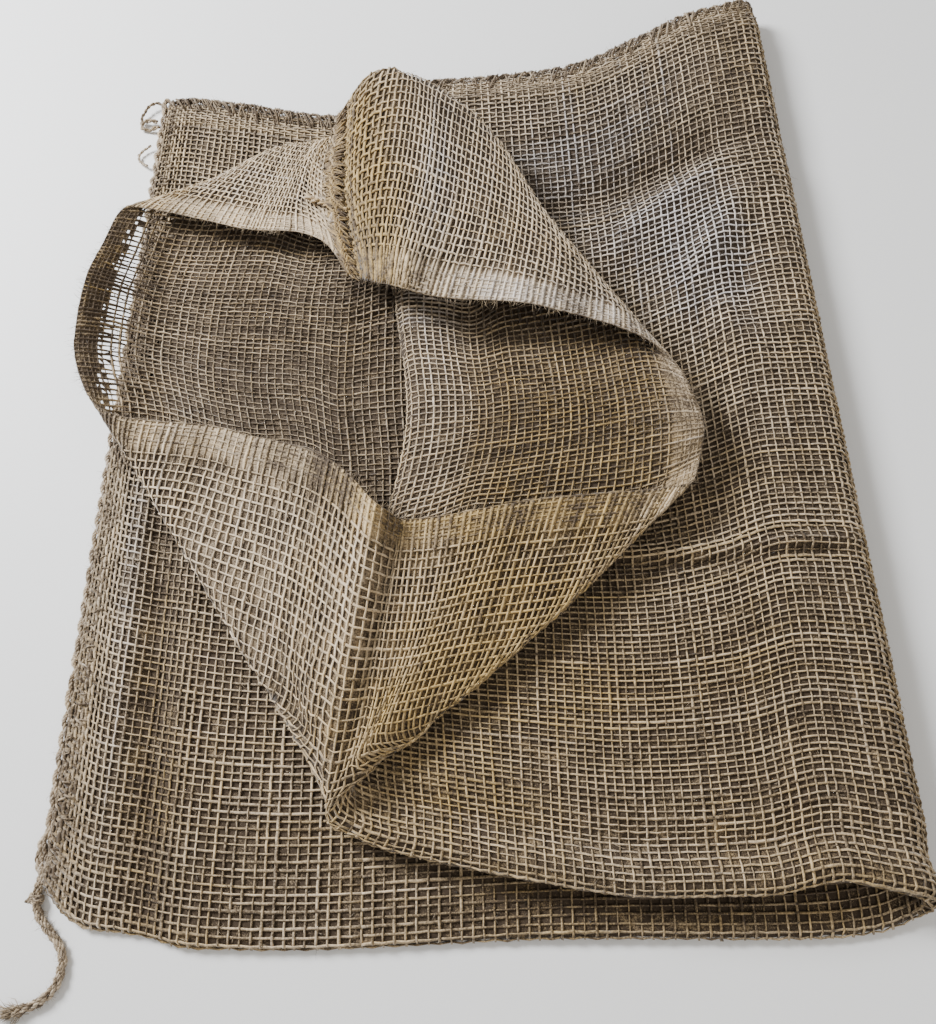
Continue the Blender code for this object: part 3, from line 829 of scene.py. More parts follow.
def tubeMap(yarns, rings, sides, row, rows):
    # one strip of the map for every yarn, so the bake has room along it
    low = (row + np.arange(yarns) + bakeStrip["inset"]) / rows
    tall = bakeStrip["tall"] / rows
    u = bakeStrip["start"] + bakeStrip["length"] * np.arange(rings) / (rings - 1)
    shape = (yarns, rings - 1, sides)
    u0, u1 = (np.broadcast_to(edge[None, :, None], shape) for edge in (u[:-1], u[1:]))
    v0 = np.broadcast_to(low[:, None, None] + tall * np.arange(sides) / sides, shape)
    v1 = v0 + tall / sides
    quadMap = np.stack((np.stack((u0, v0), -1), np.stack((u1, v0), -1), np.stack((u1, v1), -1),
                        np.stack((u0, v1), -1)), axis=3).reshape(-1, 2)
    capV = low[:, None] + tall * np.arange(sides) / (sides - 1)
    bulge = np.where(np.arange(sides) == 1, bakeStrip["capBulge"], bakeStrip["capEdge"])
    startMap = np.stack((np.broadcast_to(bakeStrip["capStart"] - bulge, (yarns, sides)), capV), -1)
    endMap = np.stack((np.broadcast_to(bakeStrip["capEnd"] + bulge, (yarns, sides)), capV[:, ::-1]), -1)
    return quadMap, startMap.reshape(-1, 2), endMap.reshape(-1, 2)


def makePiece(mesh, tones, golds, finish, replaced=()):
    # the mesh takes the tone and gold of each of its points, and becomes a piece of the sack
    mesh.shade_smooth()
    for label, values in (("tone", tones), ("gold", golds)):
        held = mesh.attributes.new(label, "FLOAT", "POINT")
        held.data.foreach_set("value", values.astype(np.float32))
    mesh.materials.append(finishes[finish])
    piece = bpy.data.objects.new(mesh.name, mesh)
    bpy.context.scene.collection.objects.link(piece)
    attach(piece, "root")
    if replaced:
        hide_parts(*replaced)
    return piece


def meshFromTubes(name, parts, finish, replaced=(), sides=3):
    # parts are dictionaries with rings (yarns, rings, sides, 3), tone and gold (yarns, rings)
    points, faces, caps, tones, golds, quadMaps, capMaps = [], [], [], [], [], [], []
    first, row = 0, 0
    rows = sum(len(part["rings"]) for part in parts)
    for part in parts:
        yarns, rings = part["rings"].shape[:2]
        points.append(part["rings"].reshape(-1, 3))
        quads, starts, ends = tubeFaces(yarns, rings, sides, first)
        faces.append(quads)
        caps += [starts, ends]
        quadMap, startMap, endMap = tubeMap(yarns, rings, sides, row, rows)
        quadMaps.append(quadMap)
        capMaps += [startMap, endMap]
        tones.append(np.repeat(part["tone"].reshape(-1), sides))
        golds.append(np.repeat(part["gold"].reshape(-1), sides))
        first += yarns * rings * sides
        row += yarns
    points = keepOffFloor(np.concatenate(points))
    mesh = bpy.data.meshes.new(name)
    mesh.from_pydata(points.tolist(), [], np.concatenate(faces).tolist() + np.concatenate(caps).tolist())
    bakeMap = mesh.uv_layers.new(name="OFBake")
    bakeMap.data.foreach_set("uv", np.concatenate(quadMaps + capMaps).astype(np.float32).ravel())
    return makePiece(mesh, np.concatenate(tones), np.concatenate(golds), finish, replaced)


def unevenThickness(rng, yarns, rings):
    thickness = (1 + weave["thickSpread"] * rng.normal(size=(yarns, 1))
                 + weave["slubs"] * softNoise(rng, (yarns, rings), weave["slubReach"]))
    return np.clip(thickness, *weave["thickLimits"])


def unevenTone(rng, yarns, rings):
    return weave["toneSpread"] * (rng.normal(size=(yarns, 1))
                                  + softNoise(rng, (yarns, rings), weave["toneReach"]))


def sidewaysShift(rng, yarns, rings, way):
    # each set of yarns shifts sideways a little, partly together with its neighbours
    return (weave["drift"] * softField(rng, yarns, rings, *weave["driftReach"][way])
            + weave["wander"] * softNoise(rng, (yarns, rings), weave["wanderReach"][way])
            + weave["jitter"] * rng.normal(size=(yarns, rings)))[..., None]


def makeWeave(lattice):
    rng = np.random.default_rng(weave["seed"])
    alongs = lattice["alongs"]
    middle, inside = lattice["middle"], lattice["inside"]
    rows, columns = middle.shape[:2]

    knots = (middle + lattice["alongWay"] * sidewaysShift(rng, rows, columns, "along")
             + lattice["acrossWay"] * sidewaysShift(rng, columns, rows, "across").transpose(1, 0, 2))
    woven = np.where((np.arange(rows)[:, None] + np.arange(columns)) % 2 == 0, 1.0, -1.0)
    inBand = (alongs > bagSizes["length"] - weave["bandWidth"])[:, None]
    rise = (weave["crimp"] * np.where(inBand, weave["bandFlat"], 1.0) * woven
            * (1 + weave["riseSpread"] * rng.normal(size=(rows, columns))))
    crossYarns = knots + inside * rise[..., None]
    longYarns = knots - inside * rise[..., None]

    place = (lattice["along"], lattice["across"])
    shelter = shelterOf(lattice)
    full = 1 + patches(tintsAndPaintedLight, "full", *place) + shelterLook["fuller"] * shelter
    crossSize = np.where(inBand, weave["bandRadius"], weave["radius"])
    longSize = np.where(inBand, weave["ribRadius"], weave["radius"])
    crossRadius = full * crossSize * unevenThickness(rng, rows, columns)
    longRadius = full * longSize * unevenThickness(rng, columns, rows).T
    # yarns under other cloth are darker by painted shade, and many tint patches add painted light and shade
    tone = weave["tone"] + patches(tintsAndPaintedLight, "tone", *place) - shelterLook["paintedShade"] * shelter
    gold = (weave["gold"] + patches(tintsAndPaintedLight, "gold", *place)
            + weave["goldDrift"] * softField(rng, rows, columns, *weave["goldDriftReach"]))
    plain, banded = weave["streaks"]
    tone = tone + np.where(inBand, banded, plain) * softNoise(rng, (1, columns), weave["streakReach"])
    crossTone = (tone - weave["bandDim"] * inBand + unevenTone(rng, rows, columns)
                 + weave["glint"] * rng.normal(size=(rows, columns)))
    longTone = (tone + unevenTone(rng, columns, rows).T + weave["glint"] * rng.normal(size=(rows, columns)))
    crossGold = gold + weave["goldSpread"] * softNoise(rng, (rows, columns), weave["goldReach"])
    longGold = gold + weave["goldSpread"] * softNoise(rng, (columns, rows), weave["goldReach"]).T
    crossRoll, longRoll = weave["rollSpread"] * rng.normal(size=(2, rows, columns))
    print(rows, "cross yarns and", columns, "long yarns")

    crossRings = tubeRings(crossYarns, inside, crossRadius, crossRoll, weave["sides"])
    longRings = tubeRings(longYarns.transpose(1, 0, 2), inside.transpose(1, 0, 2), longRadius.T, longRoll.T,
                          weave["sides"]).transpose(1, 0, 2, 3)

    bounds = np.linspace(0, rows - 1, len(weave["bands"]) + 1).round().astype(int)
    for k, name in enumerate(weave["bands"]):
        low, high = bounds[k], bounds[k + 1]
        ends = high + 1 if k == len(weave["bands"]) - 1 else high
        piece = meshFromTubes(name, [
            {"rings": crossRings[low:ends], "tone": crossTone[low:ends], "gold": crossGold[low:ends]},
            {"rings": longRings[low:high + 1].transpose(1, 0, 2, 3), "tone": longTone[low:high + 1].T,
             "gold": longGold[low:high + 1].T},
        ], "juteCloth", ["sack_cloth"])
        print(name, len(piece.data.polygons), "faces")
    return {**lattice, "tone": tone, "gold": gold, "full": full, "shelter": shelter, "knots": knots}


def evenPath(points, step):
    # the same path with points about one step apart
    run = runAlong(points)
    count = max(2, round(run[-1] / step) + 1)
    return smoothThrough(run, points, np.linspace(0, run[-1], count))


ropeUneven = {"turn": 0.35, "reach": 0.12, "thickness": 0.16, "limits": (0.6, 1.45), "strandTone": 0.10,
              "tone": 0.14, "gold": 0.20}


def ropeStrands(path, ups, look, rng):
    # strands twisted round a path, each of a few yarns twisted the other way
    def uneven(name, reach):
        return ropeUneven[name] * softNoise(rng, (1, len(path)), reach)

    way = unit(np.gradient(path, axis=0))
    beside = unit(np.cross(way, ups))
    above = np.cross(beside, way)
    run = runAlong(path)
    slow, quick = look["slow"], look["quick"]
    parts = []
    for k in range(look["strands"]):
        turn = 2 * math.pi * (run / look["lay"] + k / look["strands"])
        turn = turn + uneven("turn", slow)[0]
        reach = 1 + uneven("reach", slow)[0]
        core = (path + above * (np.sin(turn) * look["tall"] * reach)[:, None]
                + beside * (np.cos(turn) * look["wide"] * reach)[:, None])
        for ply in range(look["plies"]):
            twist = 2 * math.pi * (ply / look["plies"] - run / look["plyLay"])[:, None]
            centre = core + (above * np.sin(twist) + beside * np.cos(twist)) * look["plyReach"]
            radius = look["radius"] * np.clip(1 + uneven("thickness", quick), *ropeUneven["limits"])
            tone = look["tone"] + ropeUneven["strandTone"] * rng.normal() + uneven("tone", quick)
            gold = look["gold"] + uneven("gold", slow)
            rings = tubeRings(centre[None], above[None], radius, np.zeros((1, len(run))), look["sides"])
            parts.append({"rings": rings, "tone": tone, "gold": gold})
    return parts


def levelRope(route, step, look, rng):
    # the path of a rope that lies level, in even steps, and its strands
    path = evenPath(route, step)
    return path, ropeStrands(path, np.tile(level, (len(path), 1)), look, rng)


seamLook = {
    "strands": 2, "lay": 17 * mm, "tall": 1.05 * mm, "wide": 1.15 * mm, "sides": 4, "step": 1.15 * mm,
    "plies": 3, "plyLay": 6 * mm, "plyReach": 0.6 * mm, "radius": 0.66 * mm, "slow": 9, "quick": 3,
    "gold": -0.10, "tone": 0.58,
    "bead": 2.4 * mm, "clearance": 0.4 * mm, "halfCloth": 0.75 * mm,
    "fromCrease": 4 * mm, "toSide": 2 * mm, "sidePoints": 170, "bottomPoints": 90,
    "offsetAtTurn": 4.45 * mm, "twistLength": 22 * mm, "wayAtTurn": (-0.6, 0.0, 0.8),
    "seed": 11,
}

bottomSeamLook = {**seamLook, "lay": 19 * mm, "tall": 1.15 * mm, "wide": 1.25 * mm, "plyReach": 0.66 * mm,
                  "radius": 0.78 * mm, "gold": 0.1}

# short slanting yarns that bind the sewn edge, close together and uneven
stitchLook = {
    "pitch": 1.5 * mm, "uneven": 0.6 * mm, "reach": 6 * mm, "lean": (2.5 * mm, 6.5 * mm), "radius": 0.46 * mm,
    "shares": (-0.15, 0.1, 0.42, 0.8, 1.1), "ropeRise": 2.6 * mm, "clothRise": 1.2 * mm,
    "rises": (0.3, 0.9, 1.08, 1.04, 0.2), "tone": 0.34, "gold": 0.35,
    "sparse": 2, "denseFrom": 640 * mm,      # below the edge every second one, as far as the flap's turn
    "halfApart": (2 * mm, 11 * mm), "widening": 50 * mm,      # where the edges of the plies part
    "leanWays": (1, 1, 1, -0.4), "toneSpread": 0.18, "goldSpread": 0.25,
    "depth": (0.3, 0.45, 1.7), "height": (0.2, 0.7, 1.5), "thickness": (0.3, 0.5, 1.7),   # spread and limits
}
# the bottom seam's lie inside its cord
bottomStitchLook = {**stitchLook, "pitch": 3.2 * mm, "uneven": 1.2 * mm, "tone": 0.26,
                    "shares": (0.5, 0.62, 0.8, 1.0, 1.15), "rises": (0.2, 0.9, 1.0, 0.9, 0.2)}


def seamPoint(nets, along):
    across, points = sectionLoop(nets, along)
    innerPlace = bagSizes["width"] - bagSizes["seamClose"]
    inner = smoothThrough(across, points, np.array([-innerPlace, innerPlace])).mean(axis=0)
    edge = (points[0] + points[-1]) / 2
    outward = unit(edge - inner)
    twist = min(max((along - bagSizes["turnStart"]) / seamLook["twistLength"] + 1, 0), 1)
    direction = unit(outward * (1 - twist) + np.array(seamLook["wayAtTurn"]) * twist)
    offset = seamLook["bead"] + seamLook["halfCloth"] + seamLook["clearance"]
    return edge + direction * (offset + (seamLook["offsetAtTurn"] - offset) * twist)


def sideSeamRoute(nets):
    alongs = np.linspace(0, bagSizes["length"], seamLook["sidePoints"])
    return alongs, np.array([seamPoint(nets, along) for along in alongs]) - (*bagSizes["middle"], 0)


def bottomSeamRoute(nets):
    across, points = sectionLoop(nets, 0.0)
    end = bagSizes["width"] - seamLook["toSide"]
    places = np.linspace(seamLook["fromCrease"], end, seamLook["bottomPoints"])
    edges = (smoothThrough(across, points, -places) + smoothThrough(across, points, places)) / 2
    return places, edges - (seamLook["bead"] + seamLook["clearance"], 0, 0) - (*bagSizes["middle"], 0)


def routeTints(alongs, acrosses):
    return {name: patches(tintsAndPaintedLight, name, alongs, acrosses) for name in ("tone", "gold")}


def tintRope(parts, path, route, tints):
    # the rope takes the tints of the cloth beside it
    routeRun = runAlong(route)
    run = np.linspace(0, routeRun[-1], len(path))
    for part in parts:
        for name, values in tints.items():
            part[name] = part[name] + np.interp(run, routeRun, values)


def stitchPart(look, rope, inner, apart, tints, face, rng):
    # face is 1 on the upper side of the edge and -1 below it
    def uneven(name):
        spread, least, most = look[name]
        return np.clip(1 + spread * rng.normal(size=(count, 1)), least, most)

    run = runAlong(rope)
    shares = np.array(look["shares"])
    starts = (np.arange(int(run[-1] / look["pitch"])) + 0.5) * look["pitch"]
    if face < 0:
        starts = starts[(np.arange(len(starts)) % look["sparse"] == 0) | (starts > look["denseFrom"])]
    starts = np.concatenate((starts, starts[starts > look["denseFrom"]] + look["pitch"] / 2))
    count = len(starts)
    starts = starts + look["uneven"] * rng.normal(size=count)
    lean = rng.uniform(*look["lean"], count) * rng.choice(look["leanWays"], count)
    reach = (shares * uneven("depth"))[..., None]
    where = np.clip(starts[:, None] + lean[:, None] * shares, 0, run[-1])
    outer, inward, lift = (np.stack([np.interp(where, run, values[:, k]) for k in range(3)], axis=2)
                           for values in (rope, inner, apart))
    up = unit(lift) * face
    widest = np.interp(where, (look["denseFrom"], look["denseFrom"] + look["widening"]), look["halfApart"])
    cloth = np.minimum(0.5 * np.linalg.norm(lift, axis=2), widest) + look["clothRise"]
    rise = np.array(look["rises"]) * (look["ropeRise"] + (cloth - look["ropeRise"]) * np.clip(shares, 0, 1))
    points = outer + (inward - outer) * reach + up * (rise * uneven("height"))[..., None]
    radius = look["radius"] * uneven("thickness") * np.ones(len(shares))
    part = {"rings": tubeRings(points, up, radius, np.zeros(radius.shape), seamLook["sides"])}
    for name in ("tone", "gold"):
        change = np.interp(starts, run, tints[name]) + look[name + "Spread"] * rng.normal(size=count)
        part[name] = look[name] + change[:, None] * np.ones(len(shares))
    return part


def atLattice(lattice, values, alongs, acrosses):
    # values of the lattice at any places, by the four crossings round them
    i = np.interp(alongs, lattice["alongs"], np.arange(len(lattice["alongs"])))
    j = np.interp(acrosses, lattice["acrosses"], np.arange(len(lattice["acrosses"])))
    i0 = np.clip(i.astype(int), 0, values.shape[0] - 2)
    j0 = np.clip(j.astype(int), 0, values.shape[1] - 2)
    u, v = (i - i0)[:, None], (j - j0)[:, None]
    flat = values.reshape(values.shape[0], values.shape[1], -1)
    return (flat[i0, j0] * (1 - u) * (1 - v) + flat[i0 + 1, j0] * u * (1 - v)
            + flat[i0, j0 + 1] * (1 - u) * v + flat[i0 + 1, j0 + 1] * u * v)


# Bits of the seams' twine that stand out from them, in millimetres.
looseTwine = {
    "columns": ("piece", "radius", "tone", "gold", "route"),
    "rows": (
        # a loop and a ring at the far corner, a small loop below it and the corner's own tip
        ("bottomSeamTwine", 1.0, 0.26, 0.3, (
            (-187, 221, 2.5), (-188.5, 226, 3.8), (-191.6, 227.5, 4.2), (-196.2, 225.6, 4),
            (-199.6, 221, 3.2), (-201.4, 215.4, 2.4), (-200.8, 212, 2.2))),
        ("bottomSeamTwine", 1.4, 0.36, 0.3, (
            (-190.5, 212.5, 3.2), (-196, 214.2, 3), (-200.8, 212.4, 2.4), (-200.6, 209.6, 2),
            (-196.5, 207.6, 2), (-191.5, 207.8, 2.8), (-188.5, 208.4, 3.2))),
        ("bottomSeamTwine", 0.9, 0.60, 0.0, (
            (-192.5, 193.5, 3), (-197.4, 190.4, 2.4), (-200.4, 186, 2), (-198.8, 181.6, 2),
            (-193.5, 177.5, 2.8))),
        ("bottomSeamTwine", 1.5, 0.34, 0.5, (
            (-185.5, 222, 3.6), (-186.8, 227.6, 3.4), (-185.8, 231, 2.4), (-183.4, 228, 2.6),
            (-182.5, 223, 3.4))),
        # the twine's slack where it comes down to the knot of the tail
        ("bottomSeamTwine", 1.7, 0.52, 0.15, (
            (-196.4, -213, 3.4), (-199.6, -218, 3.6), (-203, -225, 3.6), (-203.6, -231, 3.2),
            (-202, -237, 2.8), (-201.4, -242, 2.6))),
        ("bottomSeamTwine", 1.7, 0.48, 0.15, (
            (-193.6, -217, 3.6), (-195.4, -225, 4), (-197.4, -232, 3.8), (-200, -238, 3.2),
            (-201.2, -242, 2.8))),
        # the end of the side seam's twine, on the far left flap
        ("sideSeamTwine", 2.0, 0.85, 1.0, (
            (-83, 124.5, 28), (-80, 122, 29.5), (-77, 120, 30.5), (-74.5, 118, 31))),
        ("sideSeamTwine", 1.2, 0.68, 1.3, (
            (-77, 120, 30.5), (-73, 116.5, 31.5), (-68, 113, 33), (-63.5, 109, 36), (-59.5, 106, 39),
            (-56, 103.5, 41))),
        ("sideSeamTwine", 1.5, 0.72, 0.1, (
            (-63.5, 106, 36), (-65.8, 103.6, 36), (-66, 100.8, 35.6), (-63.8, 99, 36), (-61, 99.6, 37.2),
            (-60.4, 102.6, 38), (-62, 105.2, 37.4))),
    ),
}
# the make of such a bit, with its sizes as shares of its radius
looseLook = {"strands": 2, "plies": 2, "slow": 6}
looseShares = {"lay": 7, "tall": 0.48, "wide": 0.48, "plyLay": 4, "plyReach": 0.2, "radius": 0.48}
looseStep = 0.7 * mm


def looseParts(piece, rng):
    parts = []
    for row in rowsOf(looseTwine):
        if row["piece"] == piece:
            radius = row["radius"] * mm
            sizes = {name: share * radius for name, share in looseShares.items()}
            look = {**seamLook, **looseLook, **sizes, "tone": row["tone"], "gold": row["gold"]}
            parts += levelRope(np.array(row["route"]) * mm, looseStep, look, rng)[1]
    return parts


def makeSeam(piece, node, look, stitches, route, tints, plies, rng):
    # the rope along the route, its stitches over both plies and the bits that stand out
    path, parts = levelRope(route, look["step"], look, rng)
    tintRope(parts, path, route, tints)
    over, under = plies
    for face in (1, -1):
        parts.append(stitchPart(stitches, route, (over + under) / 2, over - under, tints, face, rng))
    parts += looseParts(piece, rng)
    meshFromTubes(piece, parts, "juteTwine", [node], look["sides"])


def makeSeams(nets, lattice):
    rng = np.random.default_rng(seamLook["seed"])
    width, reach = bagSizes["width"], stitchLook["reach"]
    alongs, route = sideSeamRoute(nets)
    plies = [atLattice(lattice, lattice["middle"], alongs, np.full(len(alongs), side * (width - reach)))
             for side in (-1, 1)]
    makeSeam("sideSeamTwine", "side_seam_stitching", seamLook, stitchLook, route, routeTints(alongs, width),
             plies, rng)

    places, route = bottomSeamRoute(nets)
    plies = [atLattice(lattice, lattice["middle"], np.full(len(places), reach), side * places)
             for side in (-1, 1)]
    plain = {name: np.zeros(len(places)) for name in ("tone", "gold")}
    makeSeam("bottomSeamTwine", "bottom_seam_stitching", bottomSeamLook, bottomStitchLook, route, plain,
             plies, rng)


tailLook = {
    "route": ((-204.3, 18.4, 2.8), (-205, 12, 2.6), (-203, 5, 2.4), (-197.5, -2, 2.4), (-191.5, -8, 2.4),
              (-189, -16, 2.4), (-190.5, -24, 2.4), (-196, -30, 2.4), (-203.5, -33.5, 2.4), (-210, -35, 2.4)),
    "diameter": 4.6 * mm, "step": 0.7 * mm,
    "strands": 3, "lay": 15 * mm, "tall": 0.95 * mm, "wide": 1.15 * mm, "sides": 4,
    "plies": 3, "plyLay": 5 * mm, "plyReach": 0.55 * mm, "radius": 0.58 * mm, "slow": 14, "quick": 3,
    "gold": 0.28, "tone": 0.46, "seed": 12,
    "knotAt": 7 * mm,
}
frayLook = {
    "count": 130, "length": (5 * mm, 13 * mm), "radius": 0.2 * mm, "spread": 0.9 * mm,
    "ways": (0.3, 0.3, 0.12), "fromTip": (1, 12), "tipSteps": 8,
    "hairs": 260, "hairLength": (1.2 * mm, 4.5 * mm), "hairRadius": 0.08 * mm, "hairFrom": 1.7 * mm,
    "hairOut": 0.7, "tone": 0.5, "toneSpread": 0.15,
}
knotLook = {
    "size": 2.5 * mm, "width": 4.2 * mm, "turns": 2.5, "uneven": 0.5 * mm, "unevenReach": 9, "points": 110,
    "height": 0.8, "wayShare": 0.15,
    "strands": 2, "lay": 7 * mm, "tall": 0.55 * mm, "wide": 0.55 * mm, "sides": 4,
    "plies": 2, "plyLay": 4 * mm, "plyReach": 0.28 * mm, "slow": 8, "quick": 3, "gold": 0.28, "tone": 0.44,
    "radius": 0.42 * mm,
    "stub": ((-201.6, -243.5, 4.2), (-204, -246.6, 4), (-206.5, -249.5, 3)),
}


def makeTail():
    rng = np.random.default_rng(tailLook["seed"])
    route = np.array(tailLook["route"]) * mm - (*bagSizes["middle"], 0)
    path, parts = levelRope(route, tailLook["step"], tailLook, rng)
    tail = meshFromTubes("tailTwine", parts, "juteTwine", ["seam_tail_twine"],
                         tailLook["sides"])

    # a few uneven turns of the twine knotted round its start, and its short end
    run = runAlong(path)
    turn = np.linspace(0, knotLook["turns"], knotLook["points"])
    at = tailLook["knotAt"] + (turn / knotLook["turns"] - 0.5) * knotLook["width"]
    at = at + knotLook["uneven"] * softNoise(rng, (1, len(turn)), knotLook["unevenReach"])[0]
    centre = np.array([np.interp(at, run, path[:, k]) for k in range(3)]).T
    way = unit(path[round(len(path) * knotLook["wayShare"])] - path[0])
    beside = unit(np.cross(way, level))
    angle = 2 * math.pi * turn[:, None]
    out = beside * np.cos(angle) + np.array(level) * knotLook["height"] * np.sin(angle)
    parts = ropeStrands(centre + out * knotLook["size"], out, knotLook, rng)
    parts += levelRope(np.array(knotLook["stub"]) * mm, tailLook["step"], knotLook, rng)[1]
    knot = meshFromTubes("tailKnot", parts, "juteTwine", (), knotLook["sides"])

    # the frayed tip, and hairs all along
    count, hairCount = frayLook["count"], frayLook["hairs"]
    starts = path[-rng.integers(*frayLook["fromTip"], count)]
    starts = starts + rng.normal(size=starts.shape) * frayLook["spread"]
    ways = unit(path[-1] - path[-frayLook["tipSteps"]]) + rng.normal(size=starts.shape) * frayLook["ways"]
    hairs = path[rng.integers(0, len(path), hairCount)]
    outward = unit(rng.normal(size=hairs.shape))
    starts = np.concatenate((starts, hairs + outward * frayLook["hairFrom"]))
    ways = np.concatenate((ways, outward * frayLook["hairOut"] + unit(rng.normal(size=hairs.shape))))
    long = np.concatenate((rng.uniform(*frayLook["length"], count),
                           rng.uniform(*frayLook["hairLength"], hairCount)))
    thick = np.repeat((frayLook["radius"], frayLook["hairRadius"]), (count, hairCount))
    tones = frayLook["tone"] + frayLook["toneSpread"] * rng.normal(size=len(starts))
    fray = makeFibres("tailFray", starts, ways, long, thick, tones, rng)


hairLook = {"bend": (0.04, 0.16), "tipBend": (-0.1, 0.12), "waist": 0.8, "gold": (0.1, 0.7)}


def makeFibres(name, starts, ways, lengths, radii, tones, rng):
    # bent tapering hairs of seven points: a root ring, a middle ring and a tip
    count = len(starts)
    ways = unit(ways)
    bend = unit(np.cross(ways, rng.normal(size=ways.shape)))
    beside = unit(np.cross(ways, bend))
    reach = lengths[:, None]
    middle = starts + ways * reach * 0.5 + bend * reach * rng.uniform(*hairLook["bend"], (count, 1))
    tips = starts + ways * reach + bend * reach * rng.uniform(*hairLook["tipBend"], (count, 1))
    angle = np.arange(3) * 2 * math.pi / 3
    spoke = np.cos(angle)[None, :, None] * bend[:, None] + np.sin(angle)[None, :, None] * beside[:, None]
    root = starts[:, None] + spoke * radii[:, None, None]
    waist = middle[:, None] + spoke * radii[:, None, None] * hairLook["waist"]
    points = keepOffFloor(np.concatenate((root, waist, tips[:, None]), axis=1).reshape(-1, 3))
    base = np.arange(count)[:, None] * 7
    quads, ends = [], []
    for k in range(3):
        after = (k + 1) % 3
        quads.append(base + np.array((k, k + 3, after + 3, after)))
        ends.append(base + np.array((k + 3, 6, after + 3)))
    faces = np.concatenate(quads).tolist() + np.concatenate(ends).tolist() + (base + np.arange(3)).tolist()
    return looseMesh(name, points, faces, np.repeat(tones, 7),
                     np.repeat(rng.uniform(*hairLook["gold"], count), 7))


def looseMesh(name, points, faces, tones, golds):
    mesh = bpy.data.meshes.new(name)
    mesh.from_pydata(points.tolist(), [], faces)
    return makePiece(mesh, tones, golds, "juteFibre")


# tufts are flat bits of matted fibre, on the cloth that has been rubbed because nothing lies over it
fibreLook = {
    "tuftTries": 36000, "tuftLength": (2 * mm, 5 * mm), "tuftWidth": (0.25 * mm, 0.8 * mm),
    "tuftThick": 0.12 * mm, "tuftShade": 0.16, "tuftTilt": 0.15, "tuftLift": (-0.6, 0.35), "tuftGold": 0.2,
    "tuftChance": {"usual": 0.20, "fuller": 0.7, "rim": 0.5}, "rimWidth": 20 * mm, "sheltered": 0.1,
    "body": 1500, "bodyFrom": 0.9 * mm, "bodyTilt": (0.05, 0.5), "length": (4 * mm, 10 * mm),
    "rim": 900, "rimSway": 0.45, "rimTilt": 0.4, "rimLength": (1.5 * mm, 7.0 * mm),
    "seam": 1200, "seamFrom": 2.0 * mm, "seamOut": 0.6, "seamLength": (1.2 * mm, 5.6 * mm),
    "seamTone": 0.42, "seamStep": 1 * mm,
    "radius": 0.075 * mm, "toneSpread": 0.15, "edge": 2 * mm, "seed": 21,
}


def makeFelt(lattice):
    # one thin layer between the yarns, with a face in each half hole that the fibre closes
    rng = np.random.default_rng(feltLook["seed"])
    inside, shelter = lattice["inside"], lattice["shelter"]
    rows, columns = shelter.shape
    low = (lattice["middle"][..., 2] < feltLook["groundBelow"]) & (shelter > feltLook["groundShelter"])
    extra = patches(feltLook, "fill", lattice["along"], lattice["across"])
    fill = feltLook["usual"] + extra + feltLook["sheltered"] * shelter + feltLook["grounded"] * low
    upward = np.where(inside[..., 2:] > 0, 1.0, -1.0)
    inBand = (lattice["alongs"] > bagSizes["length"] - weave["bandWidth"])[:, None]
    lift = rng.uniform(*feltLook["lift"], (rows, columns)) * np.where(inBand, 0, 1)
    points = lattice["knots"] + inside * upward * lift[..., None]
    toRim = (bagSizes["length"] - weave["bandWidth"] - lattice["alongs"])[:, None]
    toSeam = bagSizes["width"] - feltLook["seamBand"] - abs(lattice["across"])
    dense = np.clip(1 - np.minimum(toRim, toSeam) / feltLook["edge"], 0, 1)
    share = feltLook["share"] + feltLook["shareFull"] * extra.clip(0, 1)
    share = share + (feltLook["shareInBand"] - share) * dense
    # the fibre is darker than the yarns away from the woven edges: painted shade in the holes
    tone = (lattice["tone"] * share - feltLook["paintedShade"] * (1 - dense)
            + feltLook["uneven"] * rng.normal(size=(rows, columns)))
    gold = lattice["gold"] + feltLook["goldSpread"] * rng.normal(size=(rows, columns))
    corner = np.arange(rows * columns).reshape(rows, columns)
    a, b, c, d = corner[:-1, :-1], corner[:-1, 1:], corner[1:, 1:], corner[1:, :-1]
    slant = (rng.uniform(size=a.shape) < 0.5)[..., None]
    first = np.where(slant, np.stack((a, b, c), -1), np.stack((a, b, d), -1))
    second = np.where(slant, np.stack((a, c, d), -1), np.stack((b, c, d), -1))
    wanted = ((fill[:-1, :-1] + fill[1:, 1:]) / 2).clip(0, 1)
    draw = rng.uniform(size=a.shape)
    both = wanted ** feltLook["wholePower"]
    whole = draw < both
    halves = ~whole & (draw < 2 * wanted - both)
    faces = np.concatenate((first[whole | halves], second[whole]))
    used, faces = np.unique(faces, return_inverse=True)
    faces = faces.reshape(-1, 3)
    looseMesh("clothFelt", keepOffFloor(points.reshape(-1, 3)[used]), faces.tolist(), tone.reshape(-1)[used],
              gold.reshape(-1)[used])
    print(len(faces), "faces of felt")


def makeTufts(name, middles, ways, up, lengths, widths, tones, golds):
    # each tuft is a flat kite of four faces
    ways = unit(ways)
    beside = unit(np.cross(ways, up))
    rise = np.cross(beside, ways) * fibreLook["tuftThick"] / 2
    ahead, aside = ways * lengths[:, None] / 2, beside * widths[:, None] / 2
    points = keepOffFloor(np.stack((middles - ahead - rise, middles + ahead - rise, middles - aside + rise,
                                    middles + aside + rise), 1))
    base = np.arange(len(middles))[:, None, None] * 4
    faces = (base + np.array(((0, 1, 2), (0, 3, 1), (0, 2, 3), (1, 3, 2)))).reshape(-1, 3).tolist()
    looseMesh(name, points.reshape(-1, 3), faces, np.repeat(tones, 4), np.repeat(golds, 4))


